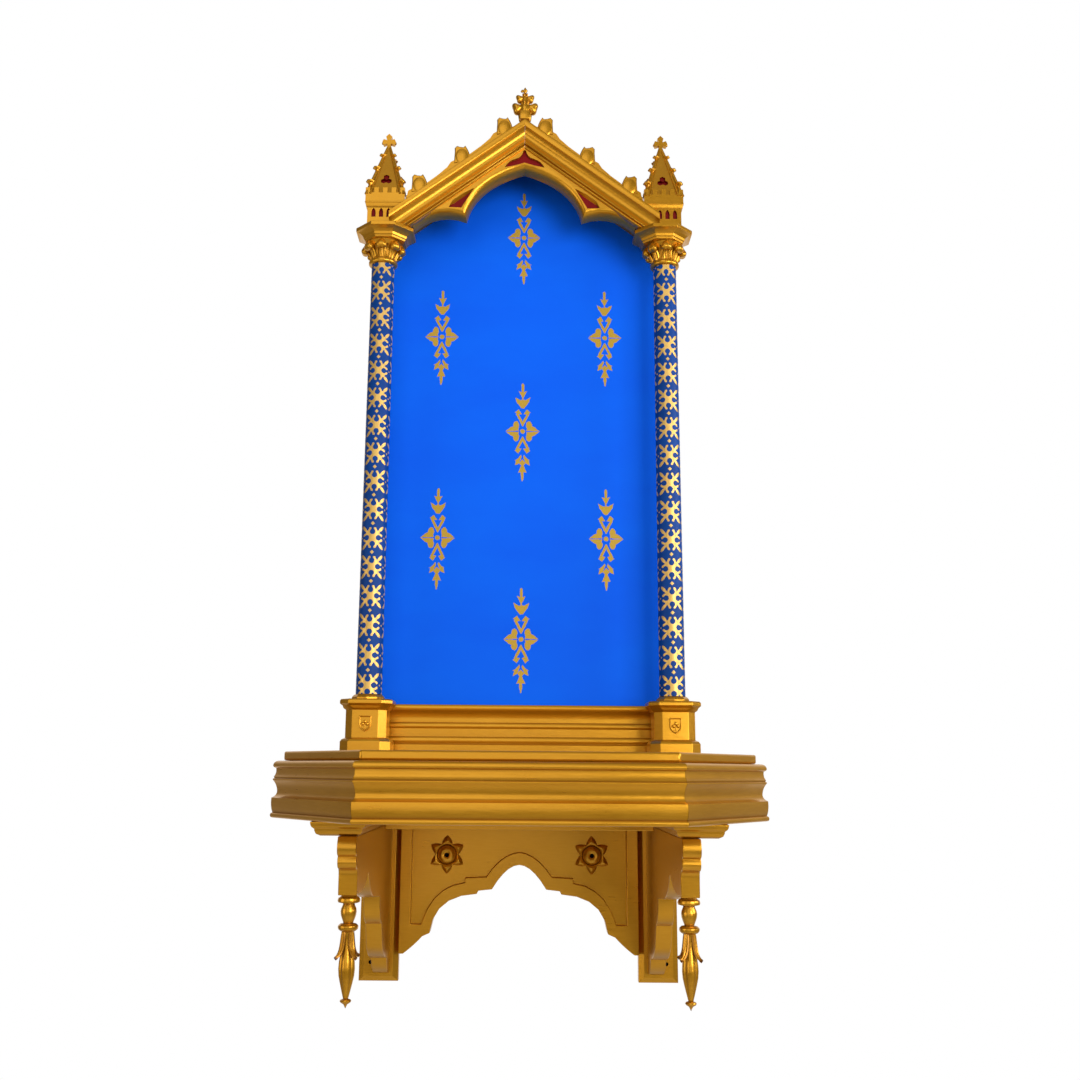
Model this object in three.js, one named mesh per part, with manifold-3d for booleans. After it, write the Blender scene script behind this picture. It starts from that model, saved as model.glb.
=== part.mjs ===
// A gothic wall shrine in gilded and painted wood: a moulded shelf on two sawn brackets
// carries a niche of two columns under a crocketed gable with a cusped arch.
// Millimetres. +Z is up, +X is to the viewer's right, the wall is y = 0 and the front faces -Y.
// Heights are counted from the top of the shelf, and the whole is moved to its origin at the end.

import * as THREE from 'three';
import { mergeVertices } from 'three/addons/utils/BufferGeometryUtils.js';
import Module from 'manifold-3d';

// Driving dimensions

const originHeight = 390;
const jointGap = 0.3;

const columnX = 202;
const columnY = -70;
const columnFoot = 78.3;
const columnHead = 687.7;
const columnFootRadius = 17.3;
const columnHeadRadius = 16.2;

const panelHalfWidth = 196;
const panelThickness = 20;

const shelfHalfWidth = 278;
const shelfDepth = 440;
const shelfFrontHalfWidth = 167;
const shelfSideDepth = 289;
const shelfTopSetback = 11;
const shelfTopEdge = 10;
const shelfBoardThickness = 19;
const shelfBottom = -73;
const shelfMouldingWidth = 30;
const underboardThickness = 10;

const pedestalHead = 71;
const pedestalWidth = 66;
const pedestalFrontShare = 0.63;
const pedestalDieWidth = 54;
const pedestalCapWidth = 69;
const shieldWidth = 18;
const shieldHeight = 20;
const shieldCentre = 39;
const shieldRise = 3;

const predellaHalfLength = 195.7;
const predellaHeight = 68;
const predellaDepth = 14.9;

const abacusFoot = 721.3;
const abacusHead = 739;
const abacusX = 199;
const abacusWidth = 82;

const turretWidth = 50;
const turretHead = 767;
const lancetPlaces = [-16, -5.3, 5.3, 16];
const lancetFoot = 753;
const lancetWidth = 6;
const lancetRise = 14;
const lancetDepth = 3;
const parapetWidth = 56;
const parapetFoot = 776;
const parapetHead = 789;
const merlonWidth = 6.5;
const merlonRise = 8;
const spireWidth = 54;
const spireFoot = 787;
const spireHead = 876;
const spireTip = 2;
const hookPlaces = [[804, 5.5], [830, 5], [855, 4.2]];
const trefoilHeight = 814;
const trefoilLobe = 3.9;
const crossCentre = 883;
const crossArm = 10;
const crossRise = 13;
const crossDepth = 7;

const gableSlope = Math.atan(0.7535);
const gableTop = 903;
const rakeFront = -105;
const rakeHeight = 33;
const rakeFootX = 192;
const roofThickness = 14;
const traceryFront = -95;
const traceryBack = -73;

const archCentreX = -11.2;
const archCentreHeight = 734.7;
const archRadius = 96;
const lobeCentreX = 109.7;
const lobeCentreHeight = 694.8;
const lobeRadius = 65.6;
const pocketDepth = 4;

const crocketPlaces = [30, 90.5, 150.5];
const crocketHeight = 28;
const crestingFront = -101;
const crestingDepth = 14;

const bracketInner = 170.5;
const bracketThickness = 20;
const bracketFront = -368;
const bracketTop = -88.3;
const bracketFoot = -149.5;
const capOverhang = 19.5;
const capSetback = 8;

const pendantX = bracketInner + bracketThickness / 2;
const pendantY = -335;
const pendantTop = bracketFoot - jointGap;

const plateInner = 158.5;
const plateOuter = 210.5;
const plateThickness = 16;
const plateBottom = -292;
const plateBevel = 7;
const screwRadius = 2.7;
const plateScrewX = 195;
const plateScrewHeight = -268;

const apronHalfWidth = 158;
const apronFoot = -256;
const apronThickness = 25;
const apronSinking = 7;
const rosetteX = 96.6;
const rosetteHeight = -130;
const rosetteRadius = 25;
const rosetteRise = 11;
const bossRadius = 11;

const battenFront = -196;
const battenDepth = 26;
const battenHeight = 15.7;

// Paints

const gold = { color: 0xc8962e, roughness: 0.42, metalness: 0.35 };
const panelBlue = { color: 0x0b5fe0, roughness: 0.6, metalness: 0 };
const columnBlue = { color: 0x0a3f9c, roughness: 0.5, metalness: 0 };

// Solids: merging, joining and cutting

const wasm = await Module();
wasm.setup();

function closed(geometry) {
  const bare = geometry.clone();
  for (const name of Object.keys(bare.attributes)) {
    if (name !== 'position') bare.deleteAttribute(name);
  }
  const merged = mergeVertices(bare, 1e-3);
  const kept = [];
  const corners = merged.index.array;
  for (let i = 0; i < corners.length; i += 3) {
    const [a, b, c] = [corners[i], corners[i + 1], corners[i + 2]];
    if (a !== b && b !== c && c !== a) kept.push(a, b, c);
  }
  merged.setIndex(kept);
  return facingOut(merged);
}

function facingOut(geometry) {
  const [a, b, c] = [new THREE.Vector3(), new THREE.Vector3(), new THREE.Vector3()];
  const { position } = geometry.attributes;
  const corners = geometry.index.array;
  let volume = 0;
  for (let i = 0; i < corners.length; i += 3) {
    a.fromBufferAttribute(position, corners[i]);
    b.fromBufferAttribute(position, corners[i + 1]);
    c.fromBufferAttribute(position, corners[i + 2]);
    volume += a.dot(b.cross(c));
  }
  if (volume < 0) geometry.setIndex(Array.from(corners).reverse());
  geometry.computeVertexNormals();
  return geometry;
}

function toSolid(geometry) {
  const shell = closed(geometry);
  return new wasm.Manifold(new wasm.Mesh({
    numProp: 3,
    vertProperties: new Float32Array(shell.attributes.position.array),
    triVerts: new Uint32Array(shell.index.array),
  }));
}

function toGeometry(solid) {
  const { vertProperties, triVerts } = solid.getMesh();
  const geometry = new THREE.BufferGeometry();
  geometry.setAttribute('position', new THREE.BufferAttribute(vertProperties, 3));
  geometry.setIndex(new THREE.BufferAttribute(triVerts, 1));
  return geometry;
}

function join(geometries) {
  return toGeometry(geometries.map(toSolid).reduce((whole, piece) => whole.add(piece)));
}

function cut(geometry, tools) {
  return toGeometry(tools.map(toSolid).reduce((whole, tool) => whole.subtract(tool), toSolid(geometry)));
}

function common(geometry, other) {
  return toGeometry(toSolid(geometry).intersect(toSolid(other)));
}

// Moves every vertex by a function of its place

function reshape(geometry, place) {
  const { position } = geometry.attributes;
  const point = new THREE.Vector3();
  for (let i = 0; i < position.count; i += 1) {
    place(point.fromBufferAttribute(position, i));
    position.setXYZ(i, point.x, point.y, point.z);
  }
  return geometry;
}

function mirrored(geometry) {
  return geometry.clone().scale(-1, 1, 1);
}

function shapeOf(points) {
  return new THREE.Shape(points.map(([x, y]) => new THREE.Vector2(x, y)));
}

// A closed outline from its right half, which starts and ends on the centre line

function bothHalves(half, divisions = 4) {
  const right = half.getPoints(divisions);
  const left = right.filter((p) => p.x > 1e-6).reverse().map((p) => new THREE.Vector2(-p.x, p.y));
  return new THREE.Shape([...right, ...left]);
}

// A board cut to an outline of X and height

function frontSlab(shape, front, back, curveSegments = 8) {
  const options = { depth: back - front, bevelEnabled: false, curveSegments };
  const geometry = new THREE.ExtrudeGeometry(shape, options);
  return geometry.rotateX(Math.PI / 2).translate(0, back, 0);
}

// A bar along X with an outline of Y and height

function sideSlab(shape, left, right, curveSegments = 4) {
  const options = { depth: right - left, bevelEnabled: false, curveSegments };
  const geometry = new THREE.ExtrudeGeometry(shape, options);
  return reshape(geometry, (p) => p.set(left + p.z, p.x, p.y));
}

// A block whose outline is scaled at each level; levels are pairs of size and height

function stacked(outline, levels) {
  const steps = levels.length - 1;
  const options = { depth: steps, steps, bevelEnabled: false };
  const geometry = new THREE.ExtrudeGeometry(shapeOf(outline), options);
  return reshape(geometry, (p) => {
    const [size, height] = levels[Math.round(p.z)];
    p.set(p.x * size, p.y * size, height);
  });
}

// A turned piece about a vertical axis; the profile is pairs of radius and height

function turned(profile, segments) {
  const points = profile.map(([radius, height]) => new THREE.Vector2(radius, height));
  return new THREE.LatheGeometry(points, segments).rotateX(Math.PI / 2);
}

// A square of unit width with its corners cut off, so that a flat of the given share is left

function cutSquare(share) {
  const flat = share / 2;
  const corners = [];
  for (const [a, b] of [[1, 1], [-1, 1], [-1, -1], [1, -1]]) {
    const pair = [[a / 2, b * flat], [a * flat, b / 2]];
    corners.push(...(a * b > 0 ? pair : pair.reverse()));
  }
  return corners;
}

const octagon = cutSquare(Math.SQRT2 - 1);
const square = [[0.5, 0.5], [-0.5, 0.5], [-0.5, -0.5], [0.5, -0.5]];

// A carved leaf that rises from its root and curls over towards -Y

function leaf(length, width, thickness, curl) {
  const geometry = new THREE.BoxGeometry(width, thickness, length, 2, 1, 3);
  return reshape(geometry, (p) => {
    const along = p.z / length + 0.5;
    const spread = 0.45 + 1.1 * Math.sin(Math.PI * Math.min(along, 0.9)) * 0.5;
    const rib = p.y < 0 ? thickness * (1 - Math.abs(2 * p.x / width)) * 0.8 : 0;
    const angle = curl * along;
    const reach = length / curl;
    const off = p.y - rib;
    p.set(
      p.x * spread,
      off * Math.cos(angle) - reach * (1 - Math.cos(angle)),
      reach * Math.sin(angle) + off * Math.sin(angle),
    );
  });
}

// The same leaf set round an axis

function leafRing(count, radius, height, makeLeaf) {
  const leaves = [];
  for (let i = 0; i < count; i += 1) {
    const turn = Math.PI / 2 + i * 2 * Math.PI / count;
    leaves.push(makeLeaf().translate(0, -radius, height).rotateZ(turn));
  }
  return leaves;
}

function screwHole(x, height, depth) {
  const hole = new THREE.CylinderGeometry(screwRadius, screwRadius, depth * 3, 8);
  return hole.translate(x, 0, height);
}

// Back panel

function rakeLine(x, drop) {
  return gableTop - drop / Math.cos(gableSlope) - x * Math.tan(gableSlope);
}

function backPanel() {
  const eaves = rakeLine(panelHalfWidth, 2);
  const outline = shapeOf([
    [-panelHalfWidth, jointGap], [panelHalfWidth, jointGap], [panelHalfWidth, eaves],
    [0, rakeLine(0, 2)], [-panelHalfWidth, eaves],
  ]);
  return frontSlab(outline, -panelThickness, 0);
}

// Gable

function archOpening() {
  const [acrossX, acrossHeight] = [lobeCentreX - archCentreX, lobeCentreHeight - archCentreHeight];
  const apart = Math.hypot(acrossX, acrossHeight);
  const reach = (apart ** 2 + archRadius ** 2 - lobeRadius ** 2) / (2 * apart);
  const cuspAngle = Math.atan2(acrossHeight, acrossX) + Math.acos(reach / archRadius);
  const cuspX = archCentreX + archRadius * Math.cos(cuspAngle);
  const cuspHeight = archCentreHeight + archRadius * Math.sin(cuspAngle);
  const lobeAngle = Math.atan2(cuspHeight - lobeCentreHeight, cuspX - lobeCentreX);
  const apexAngle = Math.acos(-archCentreX / archRadius);
  const half = new THREE.Path();
  half.moveTo(0, lobeCentreHeight);
  half.absarc(lobeCentreX, lobeCentreHeight, lobeRadius, 0, lobeAngle, false);
  half.absarc(archCentreX, archCentreHeight, archRadius, cuspAngle, apexAngle, false);
  return bothHalves(half, 5);
}

function sidePocket() {
  const pocket = new THREE.Shape();
  pocket.moveTo(72, 799.3);
  pocket.lineTo(90, 768.1);
  pocket.lineTo(116, 767.3);
  pocket.quadraticCurveTo(97, 787.3, 72, 799.3);
  return pocket;
}

function apexPocket() {
  const half = new THREE.Path();
  half.moveTo(0, 839);
  half.quadraticCurveTo(12, 831.5, 28.5, 831.5);
  half.quadraticCurveTo(24, 842, 13, 845);
  half.quadraticCurveTo(4, 847, 1.5, 858.5);
  half.lineTo(0, 858.5);
  return bothHalves(half);
}

function gableTracery() {
  const foot = abacusFoot + 9;
  const footX = abacusX - abacusWidth / 2 - 2 * jointGap;
  const edge = rakeHeight + jointGap;
  const outline = shapeOf([
    [-footX, foot], [footX, foot], [footX, rakeLine(footX, edge)], [0, rakeLine(0, edge)],
    [-footX, rakeLine(footX, edge)],
  ]);
  const board = frontSlab(outline, traceryFront, traceryBack);
  const clear = 60;
  const pockets = [sidePocket(), apexPocket()].map((shape) => (
    frontSlab(shape, traceryFront - clear, traceryFront + pocketDepth, 3)
  ));
  const opening = frontSlab(archOpening(), traceryFront - clear, traceryBack + clear);
  return cut(board, [opening, ...pockets, mirrored(pockets[0])]);
}

// The raking moulding lies along the slope: the profile is drop below its top edge, and Y

function alongRake(geometry) {
  return reshape(geometry, (p) => {
    const [drop, y, run] = [-p.x, p.y, p.z];
    p.x = run * Math.cos(gableSlope) - drop * Math.sin(gableSlope);
    p.y = y;
    p.z = gableTop - run * Math.sin(gableSlope) - drop * Math.cos(gableSlope);
  });
}

function rake() {
  const fillet = 8.5;
  const coveFoot = 24;
  const bead = 2.5;
  const quirk = 30.5;
  const back = -panelThickness - jointGap;
  const profile = new THREE.Shape();
  profile.moveTo(0, rakeFront);
  profile.lineTo(-fillet, rakeFront);
  profile.quadraticCurveTo(-fillet - 6, rakeFront + 13, -coveFoot, rakeFront + 6);
  profile.lineTo(-coveFoot - bead, rakeFront + 6);
  profile.lineTo(-coveFoot - bead, rakeFront + 9);
  profile.lineTo(-quirk, rakeFront + 9);
  profile.lineTo(-quirk, rakeFront + 7);
  profile.lineTo(-rakeHeight, rakeFront + 7);
  profile.lineTo(-rakeHeight, traceryBack);
  profile.lineTo(-roofThickness, traceryBack);
  profile.lineTo(-roofThickness, back);
  profile.lineTo(0, back);
  const spare = 60;
  const length = rakeFootX / Math.cos(gableSlope) + 2 * spare;
  const options = { depth: length, bevelEnabled: false, curveSegments: 4 };
  const bar = alongRake(new THREE.ExtrudeGeometry(profile, options).translate(0, 0, -spare));
  const tall = gableTop;
  const room = new THREE.BoxGeometry(rakeFootX - jointGap, 4 * spare, tall);
  room.translate((rakeFootX + jointGap) / 2, columnY, abacusHead + jointGap + tall / 2);
  const seats = [[turretWidth, abacusHead], [parapetWidth, turretHead]].map(([width, foot]) => {
    const seatWidth = width + 2 * jointGap;
    const seat = new THREE.BoxGeometry(seatWidth, seatWidth, tall);
    return seat.translate(abacusX, columnY, foot - jointGap + tall / 2);
  });
  return cut(common(bar, room), seats);
}

// Crocketed ridge: a scalloped cresting with a curled leaf at each place

function crocketLeaf() {
  const curl = new THREE.Shape();
  curl.moveTo(-12, -4);
  curl.lineTo(-11, 7);
  curl.quadraticCurveTo(-9, 13, -5, 19);
  curl.lineTo(-2.5, 16.5);
  curl.quadraticCurveTo(3, 16.5, 7, 18.5);
  curl.quadraticCurveTo(12, 16, 10, 9);
  curl.lineTo(11, -10);
  const body = 13;
  const bevel = 1.5;
  const geometry = new THREE.ExtrudeGeometry(curl, {
    depth: body,
    curveSegments: 2,
    bevelThickness: bevel,
    bevelSize: bevel,
    bevelOffset: -bevel,
    bevelSegments: 1,
  });
  return geometry.rotateX(Math.PI / 2).translate(0, body / 2, 0);
}

function crocketRidge() {
  const lift = jointGap;
  const tread = 4;
  const outline = new THREE.Shape();
  const spacing = (crocketPlaces[1] - crocketPlaces[0]) / Math.cos(gableSlope);
  const start = 18;
  const end = 208;
  outline.moveTo(start, lift);
  let from = start;
  for (const place of crocketPlaces) {
    const centre = place / Math.cos(gableSlope);
    const rise = centre + 12;
    outline.lineTo(Math.max(from, centre - 10), tread + 4);
    outline.lineTo(rise, tread + 6);
    from = Math.min(rise + spacing - 24, end);
    outline.quadraticCurveTo(rise + 6, tread, from, tread);
  }
  outline.lineTo(end, lift);
  const options = { depth: crestingDepth, bevelEnabled: false, curveSegments: 3 };
  const plate = new THREE.ExtrudeGeometry(outline, options);
  reshape(plate, (p) => {
    const [run, rise] = [p.x, p.y];
    p.set(
      run * Math.cos(gableSlope) + rise * Math.sin(gableSlope),
      crestingFront + p.z,
      gableTop - run * Math.sin(gableSlope) + rise * Math.cos(gableSlope),
    );
  });
  const leaves = crocketPlaces.map((place) => crocketLeaf().translate(
    place, crestingFront + crestingDepth / 2, rakeLine(place, 0) + crocketHeight - 20,
  ));
  const deep = 80;
  const below = new THREE.BoxGeometry(deep, deep, 2 * end);
  below.translate(lift - deep / 2, crestingFront, end / 2);
  return cut(join([plate, ...leaves]), [alongRake(below)]);
}

// The finial at the apex, whose knob has lost its right arm

function apexFinial() {
  const foot = gableTop + jointGap;
  const block = new THREE.BoxGeometry(14, crestingDepth, 14).translate(0, 0, foot + 7);
  const stem = turned([
    [0, foot + 4], [5, foot + 4], [4.5, foot + 14], [6.5, foot + 20], [3.5, foot + 28], [3, foot + 36],
    [4.5, foot + 42], [2.2, foot + 46], [4, foot + 49], [4, foot + 52], [2, foot + 54.5], [0, foot + 54.5],
  ], 6);
  const arm = new THREE.BoxGeometry(6, 4, 4).translate(-3, 0, foot + 50.5);
  const lower = leafRing(4, 3, foot + 14, () => leaf(21, 15, 3, 2.1));
  const upper = leafRing(4, 2, foot + 31, () => leaf(15, 11, 2.6, 2.1));
  const whole = join([block, stem, arm, ...lower, ...upper]);
  return whole.translate(0, crestingFront + crestingDepth / 2, 0);
}

// Pinnacle over each column

function lancet(x) {
  const half = new THREE.Path();
  half.moveTo(0, 0);
  half.lineTo(lancetWidth / 2, 0);
  half.lineTo(lancetWidth / 2, lancetRise * 0.5);
  half.quadraticCurveTo(lancetWidth / 2, lancetRise * 0.8, 0, lancetRise);
  const light = frontSlab(bothHalves(half, 2), -lancetDepth, lancetDepth);
  return light.translate(x, -turretWidth / 2, lancetFoot);
}

function spireReach(height) {
  return (spireWidth / 2) * (spireHead - height) / (spireHead - spireFoot);
}

function trefoil() {
  const depth = 12;
  const faceY = -spireReach(trefoilHeight);
  const lobes = [[0, 0.95], [-0.8, -0.6], [0.8, -0.6]];
  return lobes.map(([across, up]) => {
    const lobe = new THREE.CylinderGeometry(trefoilLobe, trefoilLobe, depth, 6);
    return lobe.translate(across * trefoilLobe, faceY - depth / 6, trefoilHeight + up * trefoilLobe);
  });
}

function spireCross() {
  const [stem, flare, tip] = [2.6, 4.5, 2];
  const half = new THREE.Path();
  const foot = spireHead - crossArm;
  half.moveTo(0, foot);
  half.lineTo(stem, foot);
  half.lineTo(stem, crossCentre - stem);
  half.lineTo(crossArm - tip, crossCentre - flare);
  half.lineTo(crossArm, crossCentre);
  half.lineTo(crossArm - tip, crossCentre + flare);
  half.lineTo(stem, crossCentre + stem);
  half.lineTo(flare, crossCentre + crossRise - flare);
  half.lineTo(0, crossCentre + crossRise);
  return frontSlab(bothHalves(half), -crossDepth / 2, crossDepth / 2);
}

function pinnacle() {
  const tower = stacked(square, [
    [turretWidth, abacusHead + jointGap], [turretWidth, turretHead], [turretWidth + 3, turretHead + 2],
    [parapetWidth, parapetFoot], [parapetWidth, parapetHead],
  ]);
  const spire = new THREE.CylinderGeometry(spireTip, spireWidth / Math.SQRT2, spireHead - spireFoot, 4);
  spire.rotateX(Math.PI / 2).rotateZ(Math.PI / 4).translate(0, 0, (spireFoot + spireHead) / 2);
  const pieces = [tower, spire, spireCross()];
  const merlonStep = (parapetWidth - merlonWidth) / 4;
  for (let side = 0; side < 4; side += 1) {
    const turn = side * Math.PI / 2;
    for (let i = -2; i < 2; i += 1) {
      const merlon = new THREE.BoxGeometry(merlonWidth, merlonWidth, 2 * merlonRise);
      pieces.push(merlon.translate(i * merlonStep, -2 * merlonStep, parapetHead).rotateZ(turn));
    }
    for (const [height, size] of hookPlaces) {
      const hook = new THREE.CylinderGeometry(size, size * 0.3, size * 2.4, 4).rotateX(Math.PI / 2);
      pieces.push(hook.translate(spireReach(height), -spireReach(height), height).rotateZ(turn));
    }
  }
  const holes = [...lancetPlaces.map(lancet), ...trefoil()];
  return cut(join(pieces), holes).translate(abacusX, columnY, 0);
}

// Column with its capital and abacus

function abacus() {
  const solid = stacked(octagon, [
    [57, abacusFoot], [59, abacusFoot + 3], [61, abacusFoot + 3.4], [63, abacusFoot + 7],
    [70, abacusFoot + 10], [abacusWidth - 4, abacusFoot + 12], [abacusWidth, abacusFoot + 12.4],
    [abacusWidth, abacusHead],
  ]);
  return solid.translate(abacusX, columnY, 0);
}

function capital() {
  const foot = columnHead + jointGap;
  const head = abacusFoot - jointGap;
  const bell = turned([
    [0, foot], [17.5, foot], [20.5, foot + 3], [20.5, foot + 7], [17.5, foot + 10],
    [17.5, foot + 20], [24, head - 3], [26, head], [0, head],
  ], 10);
  const leaves = leafRing(8, 16.5, foot + 9, () => leaf(22, 16, 3.4, 1.75));
  const room = turned([[0, foot], [60, foot], [60, head], [0, head]], 4);
  return common(join([bell, ...leaves]), room).translate(columnX, columnY, 0);
}

function column() {
  const shaft = turned([
    [0, columnFoot], [columnFootRadius, columnFoot], [columnHeadRadius, columnHead], [0, columnHead],
  ], 20);
  return shaft.translate(columnX, columnY, 0);
}

// Pedestal with a shield on its front

function pedestal() {
  const outline = cutSquare(pedestalFrontShare);
  const block = stacked(outline, [
    [pedestalWidth, jointGap], [pedestalWidth, 16], [pedestalWidth - 4, 19], [pedestalDieWidth, 21],
    [pedestalDieWidth, 57], [pedestalDieWidth + 6, 59], [pedestalDieWidth + 8, 62],
    [pedestalCapWidth, 65], [pedestalCapWidth, 69], [pedestalWidth, pedestalHead],
  ]);
  const top = columnFoot - jointGap;
  const ring = turned([[0, 70], [22, 70], [22.5, 74], [20, 77], [18, top], [0, top]], 10);
  const half = new THREE.Path();
  half.moveTo(0, -shieldHeight / 2);
  half.quadraticCurveTo(shieldWidth * 0.4, -shieldHeight * 0.38, shieldWidth / 2, -shieldHeight * 0.1);
  half.lineTo(shieldWidth / 2, shieldHeight / 2);
  half.lineTo(0, shieldHeight / 2);
  const face = -pedestalDieWidth / 2;
  const shield = frontSlab(bothHalves(half, 3), face - shieldRise, face + shieldRise);
  return join([block, ring, shield.translate(0, 0, shieldCentre)]).translate(columnX, columnY, 0);
}

function predella() {
  const back = -panelThickness - jointGap;
  const front = back - predellaDepth;
  const profile = new THREE.Shape();
  profile.moveTo(back, jointGap);
  profile.lineTo(front, jointGap);
  profile.lineTo(front, 14);
  profile.lineTo(front + 3, 16);
  profile.quadraticCurveTo(front, 20, front + 3, 24);
  profile.lineTo(front + 5, 25);
  profile.lineTo(front + 5, 36);
  profile.quadraticCurveTo(front + 2, 39, front + 5, 43);
  profile.lineTo(front + 8, 44);
  profile.quadraticCurveTo(front + 10, 54, front + 4, 59);
  profile.lineTo(front + 3, 60);
  profile.quadraticCurveTo(front, 64, front + 4, predellaHeight);
  profile.lineTo(back, predellaHeight);
  return sideSlab(profile, -predellaHalfLength, predellaHalfLength);
}

// Shelf: a canted board edged with mitred lengths of moulding

const shelfCorners = [
  [shelfHalfWidth, 0], [shelfHalfWidth, -shelfSideDepth], [shelfFrontHalfWidth, -shelfDepth],
  [-shelfFrontHalfWidth, -shelfDepth], [-shelfHalfWidth, -shelfSideDepth], [-shelfHalfWidth, 0],
].map(([x, y]) => new THREE.Vector2(x, y));

function outwardNormal(index) {
  const along = shelfCorners[index + 1].clone().sub(shelfCorners[index]).normalize();
  return new THREE.Vector2(along.y, -along.x).negate();
}

function shelfMitre(index) {
  const last = shelfCorners.length - 1;
  if (index === 0) return outwardNormal(0);
  if (index === last) return outwardNormal(last - 1);
  const [before, after] = [outwardNormal(index - 1), outwardNormal(index)];
  return before.clone().add(after).divideScalar(1 + before.dot(after));
}

function shelfPoint(index, outward) {
  return shelfMitre(index).multiplyScalar(outward).add(shelfCorners[index]);
}

function shelfSlab(setback, bottom, top) {
  const outline = new THREE.Shape(shelfCorners.map((corner, i) => shelfPoint(i, -setback)));
  const options = { depth: top - bottom, bevelEnabled: false };
  return new THREE.ExtrudeGeometry(outline, options).translate(0, 0, bottom);
}

function shelfBoard() {
  const topPart = shelfSlab(shelfTopSetback, -shelfTopEdge, 0);
  const lowerPart = shelfSlab(shelfMouldingWidth + jointGap, -shelfBoardThickness, -shelfTopEdge + 1);
  return join([topPart, lowerPart]);
}

function shelfUnderboard() {
  return shelfSlab(shelfMouldingWidth + jointGap, shelfBottom, shelfBottom + underboardThickness);
}

function shelfMoulding(index) {
  const top = -shelfTopEdge - jointGap;
  const profile = new THREE.Shape();
  profile.moveTo(-shelfMouldingWidth, top);
  profile.lineTo(-shelfMouldingWidth, shelfBottom);
  profile.lineTo(-3, shelfBottom);
  profile.quadraticCurveTo(2, -68, -2, -63);
  profile.quadraticCurveTo(-7, -47, 0, -30);
  profile.quadraticCurveTo(0, -21, -5, -20);
  profile.quadraticCurveTo(-5, -12, -9.5, top);
  const geometry = new THREE.ExtrudeGeometry(profile, { depth: 1, bevelEnabled: false, curveSegments: 4 });
  const along = shelfCorners[index + 1].clone().sub(shelfCorners[index]).normalize();
  return reshape(geometry, (p) => {
    const atEnd = Math.round(p.z);
    const place = shelfPoint(index + atEnd, p.x).addScaledVector(along, (1 - 2 * atEnd) * jointGap / 2);
    p.set(place.x, place.y, p.y);
  });
}

// Brackets under the shelf

function bracketCap() {
  const back = -plateThickness - jointGap;
  const levels = [
    [0, bracketTop + jointGap], [4, -86], [5.5, -82.5], [5.5, -81], [8.5, -78.5], [9.5, -75],
    [9.5, shelfBottom - jointGap],
  ];
  const steps = levels.length - 1;
  const [inner, outer] = [bracketInner, bracketInner + bracketThickness + capOverhang];
  const options = { depth: steps, steps, bevelEnabled: false };
  const geometry = new THREE.ExtrudeGeometry(shapeOf(square), options);
  return reshape(geometry, (p) => {
    const [grow, height] = levels[Math.round(p.z)];
    const front = bracketFront + capSetback - grow;
    p.set(p.x > 0 ? outer + grow : inner - grow, p.y > 0 ? back : front, height);
  });
}

function bracketBoard() {
  const back = -plateThickness - jointGap;
  const outline = new THREE.Shape();
  outline.moveTo(back, bracketTop);
  outline.lineTo(bracketFront + 4, bracketTop);
  outline.quadraticCurveTo(bracketFront - 4, -99, bracketFront + 2, -107);
  outline.lineTo(bracketFront + 7, -109);
  outline.quadraticCurveTo(bracketFront + 2, -116, bracketFront + 9, -121);
  outline.quadraticCurveTo(bracketFront + 18, -122, bracketFront + 18, -129);
  outline.lineTo(bracketFront + 19, bracketFoot);
  outline.lineTo(-305, bracketFoot);
  outline.quadraticCurveTo(-283, -147, -259, -134);
  outline.quadraticCurveTo(-243, -158, -205, -166);
  outline.lineTo(-141, -172);
  outline.quadraticCurveTo(-139, -202, -115, -207);
  outline.lineTo(-102, -235);
  outline.quadraticCurveTo(-80, -255, -50, -257);
  outline.quadraticCurveTo(-41, -277, back, -281);
  return sideSlab(outline, bracketInner, bracketInner + bracketThickness, 4);
}

function pendant() {
  const drop = (depth) => pendantTop - depth;
  const body = turned([
    [0, drop(0)], [8, drop(0)], [8.5, drop(2)], [12.1, drop(6)], [11.6, drop(8)], [6, drop(8.8)],
    [7, drop(11)], [8.4, drop(17)], [7.4, drop(23)], [5.3, drop(29)], [9.2, drop(30)], [10.9, drop(33)],
    [9.6, drop(36)], [6.4, drop(37.5)], [5.8, drop(52)], [7.8, drop(64)], [8.7, drop(75)], [7, drop(86)],
    [3.2, drop(102)], [2.7, drop(104.5)], [6.1, drop(106.5)], [5.4, drop(108.5)], [1.2, drop(111.5)],
    [0, drop(114.4)],
  ], 8);
  const leaves = leafRing(4, 5.5, 0, () => leaf(28, 13, 2.8, 1.05)).map((upright) => (
    upright.rotateZ(Math.PI / 4).scale(1, 1, -1).translate(0, 0, drop(36))
  ));
  return join([body, ...leaves]).translate(pendantX, pendantY, 0);
}

function wallPlate() {
  const width = plateOuter - plateInner;
  const top = shelfBottom - jointGap;
  const steps = 2;
  const plate = new THREE.ExtrudeGeometry(shapeOf(square), { depth: steps, steps, bevelEnabled: false });
  const fronts = [0, plateThickness - 5, plateThickness];
  reshape(plate, (p) => {
    const level = Math.round(p.z);
    const inset = level === steps ? plateBevel : 0;
    const x = (plateInner + plateOuter) / 2 + p.x * (width - 2 * inset);
    p.set(x, -fronts[level], p.y > 0 ? top : plateBottom + inset);
  });
  return cut(plate, [screwHole(plateScrewX, plateScrewHeight, plateThickness)]);
}

// Apron under the shelf, between the wall plates

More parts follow.
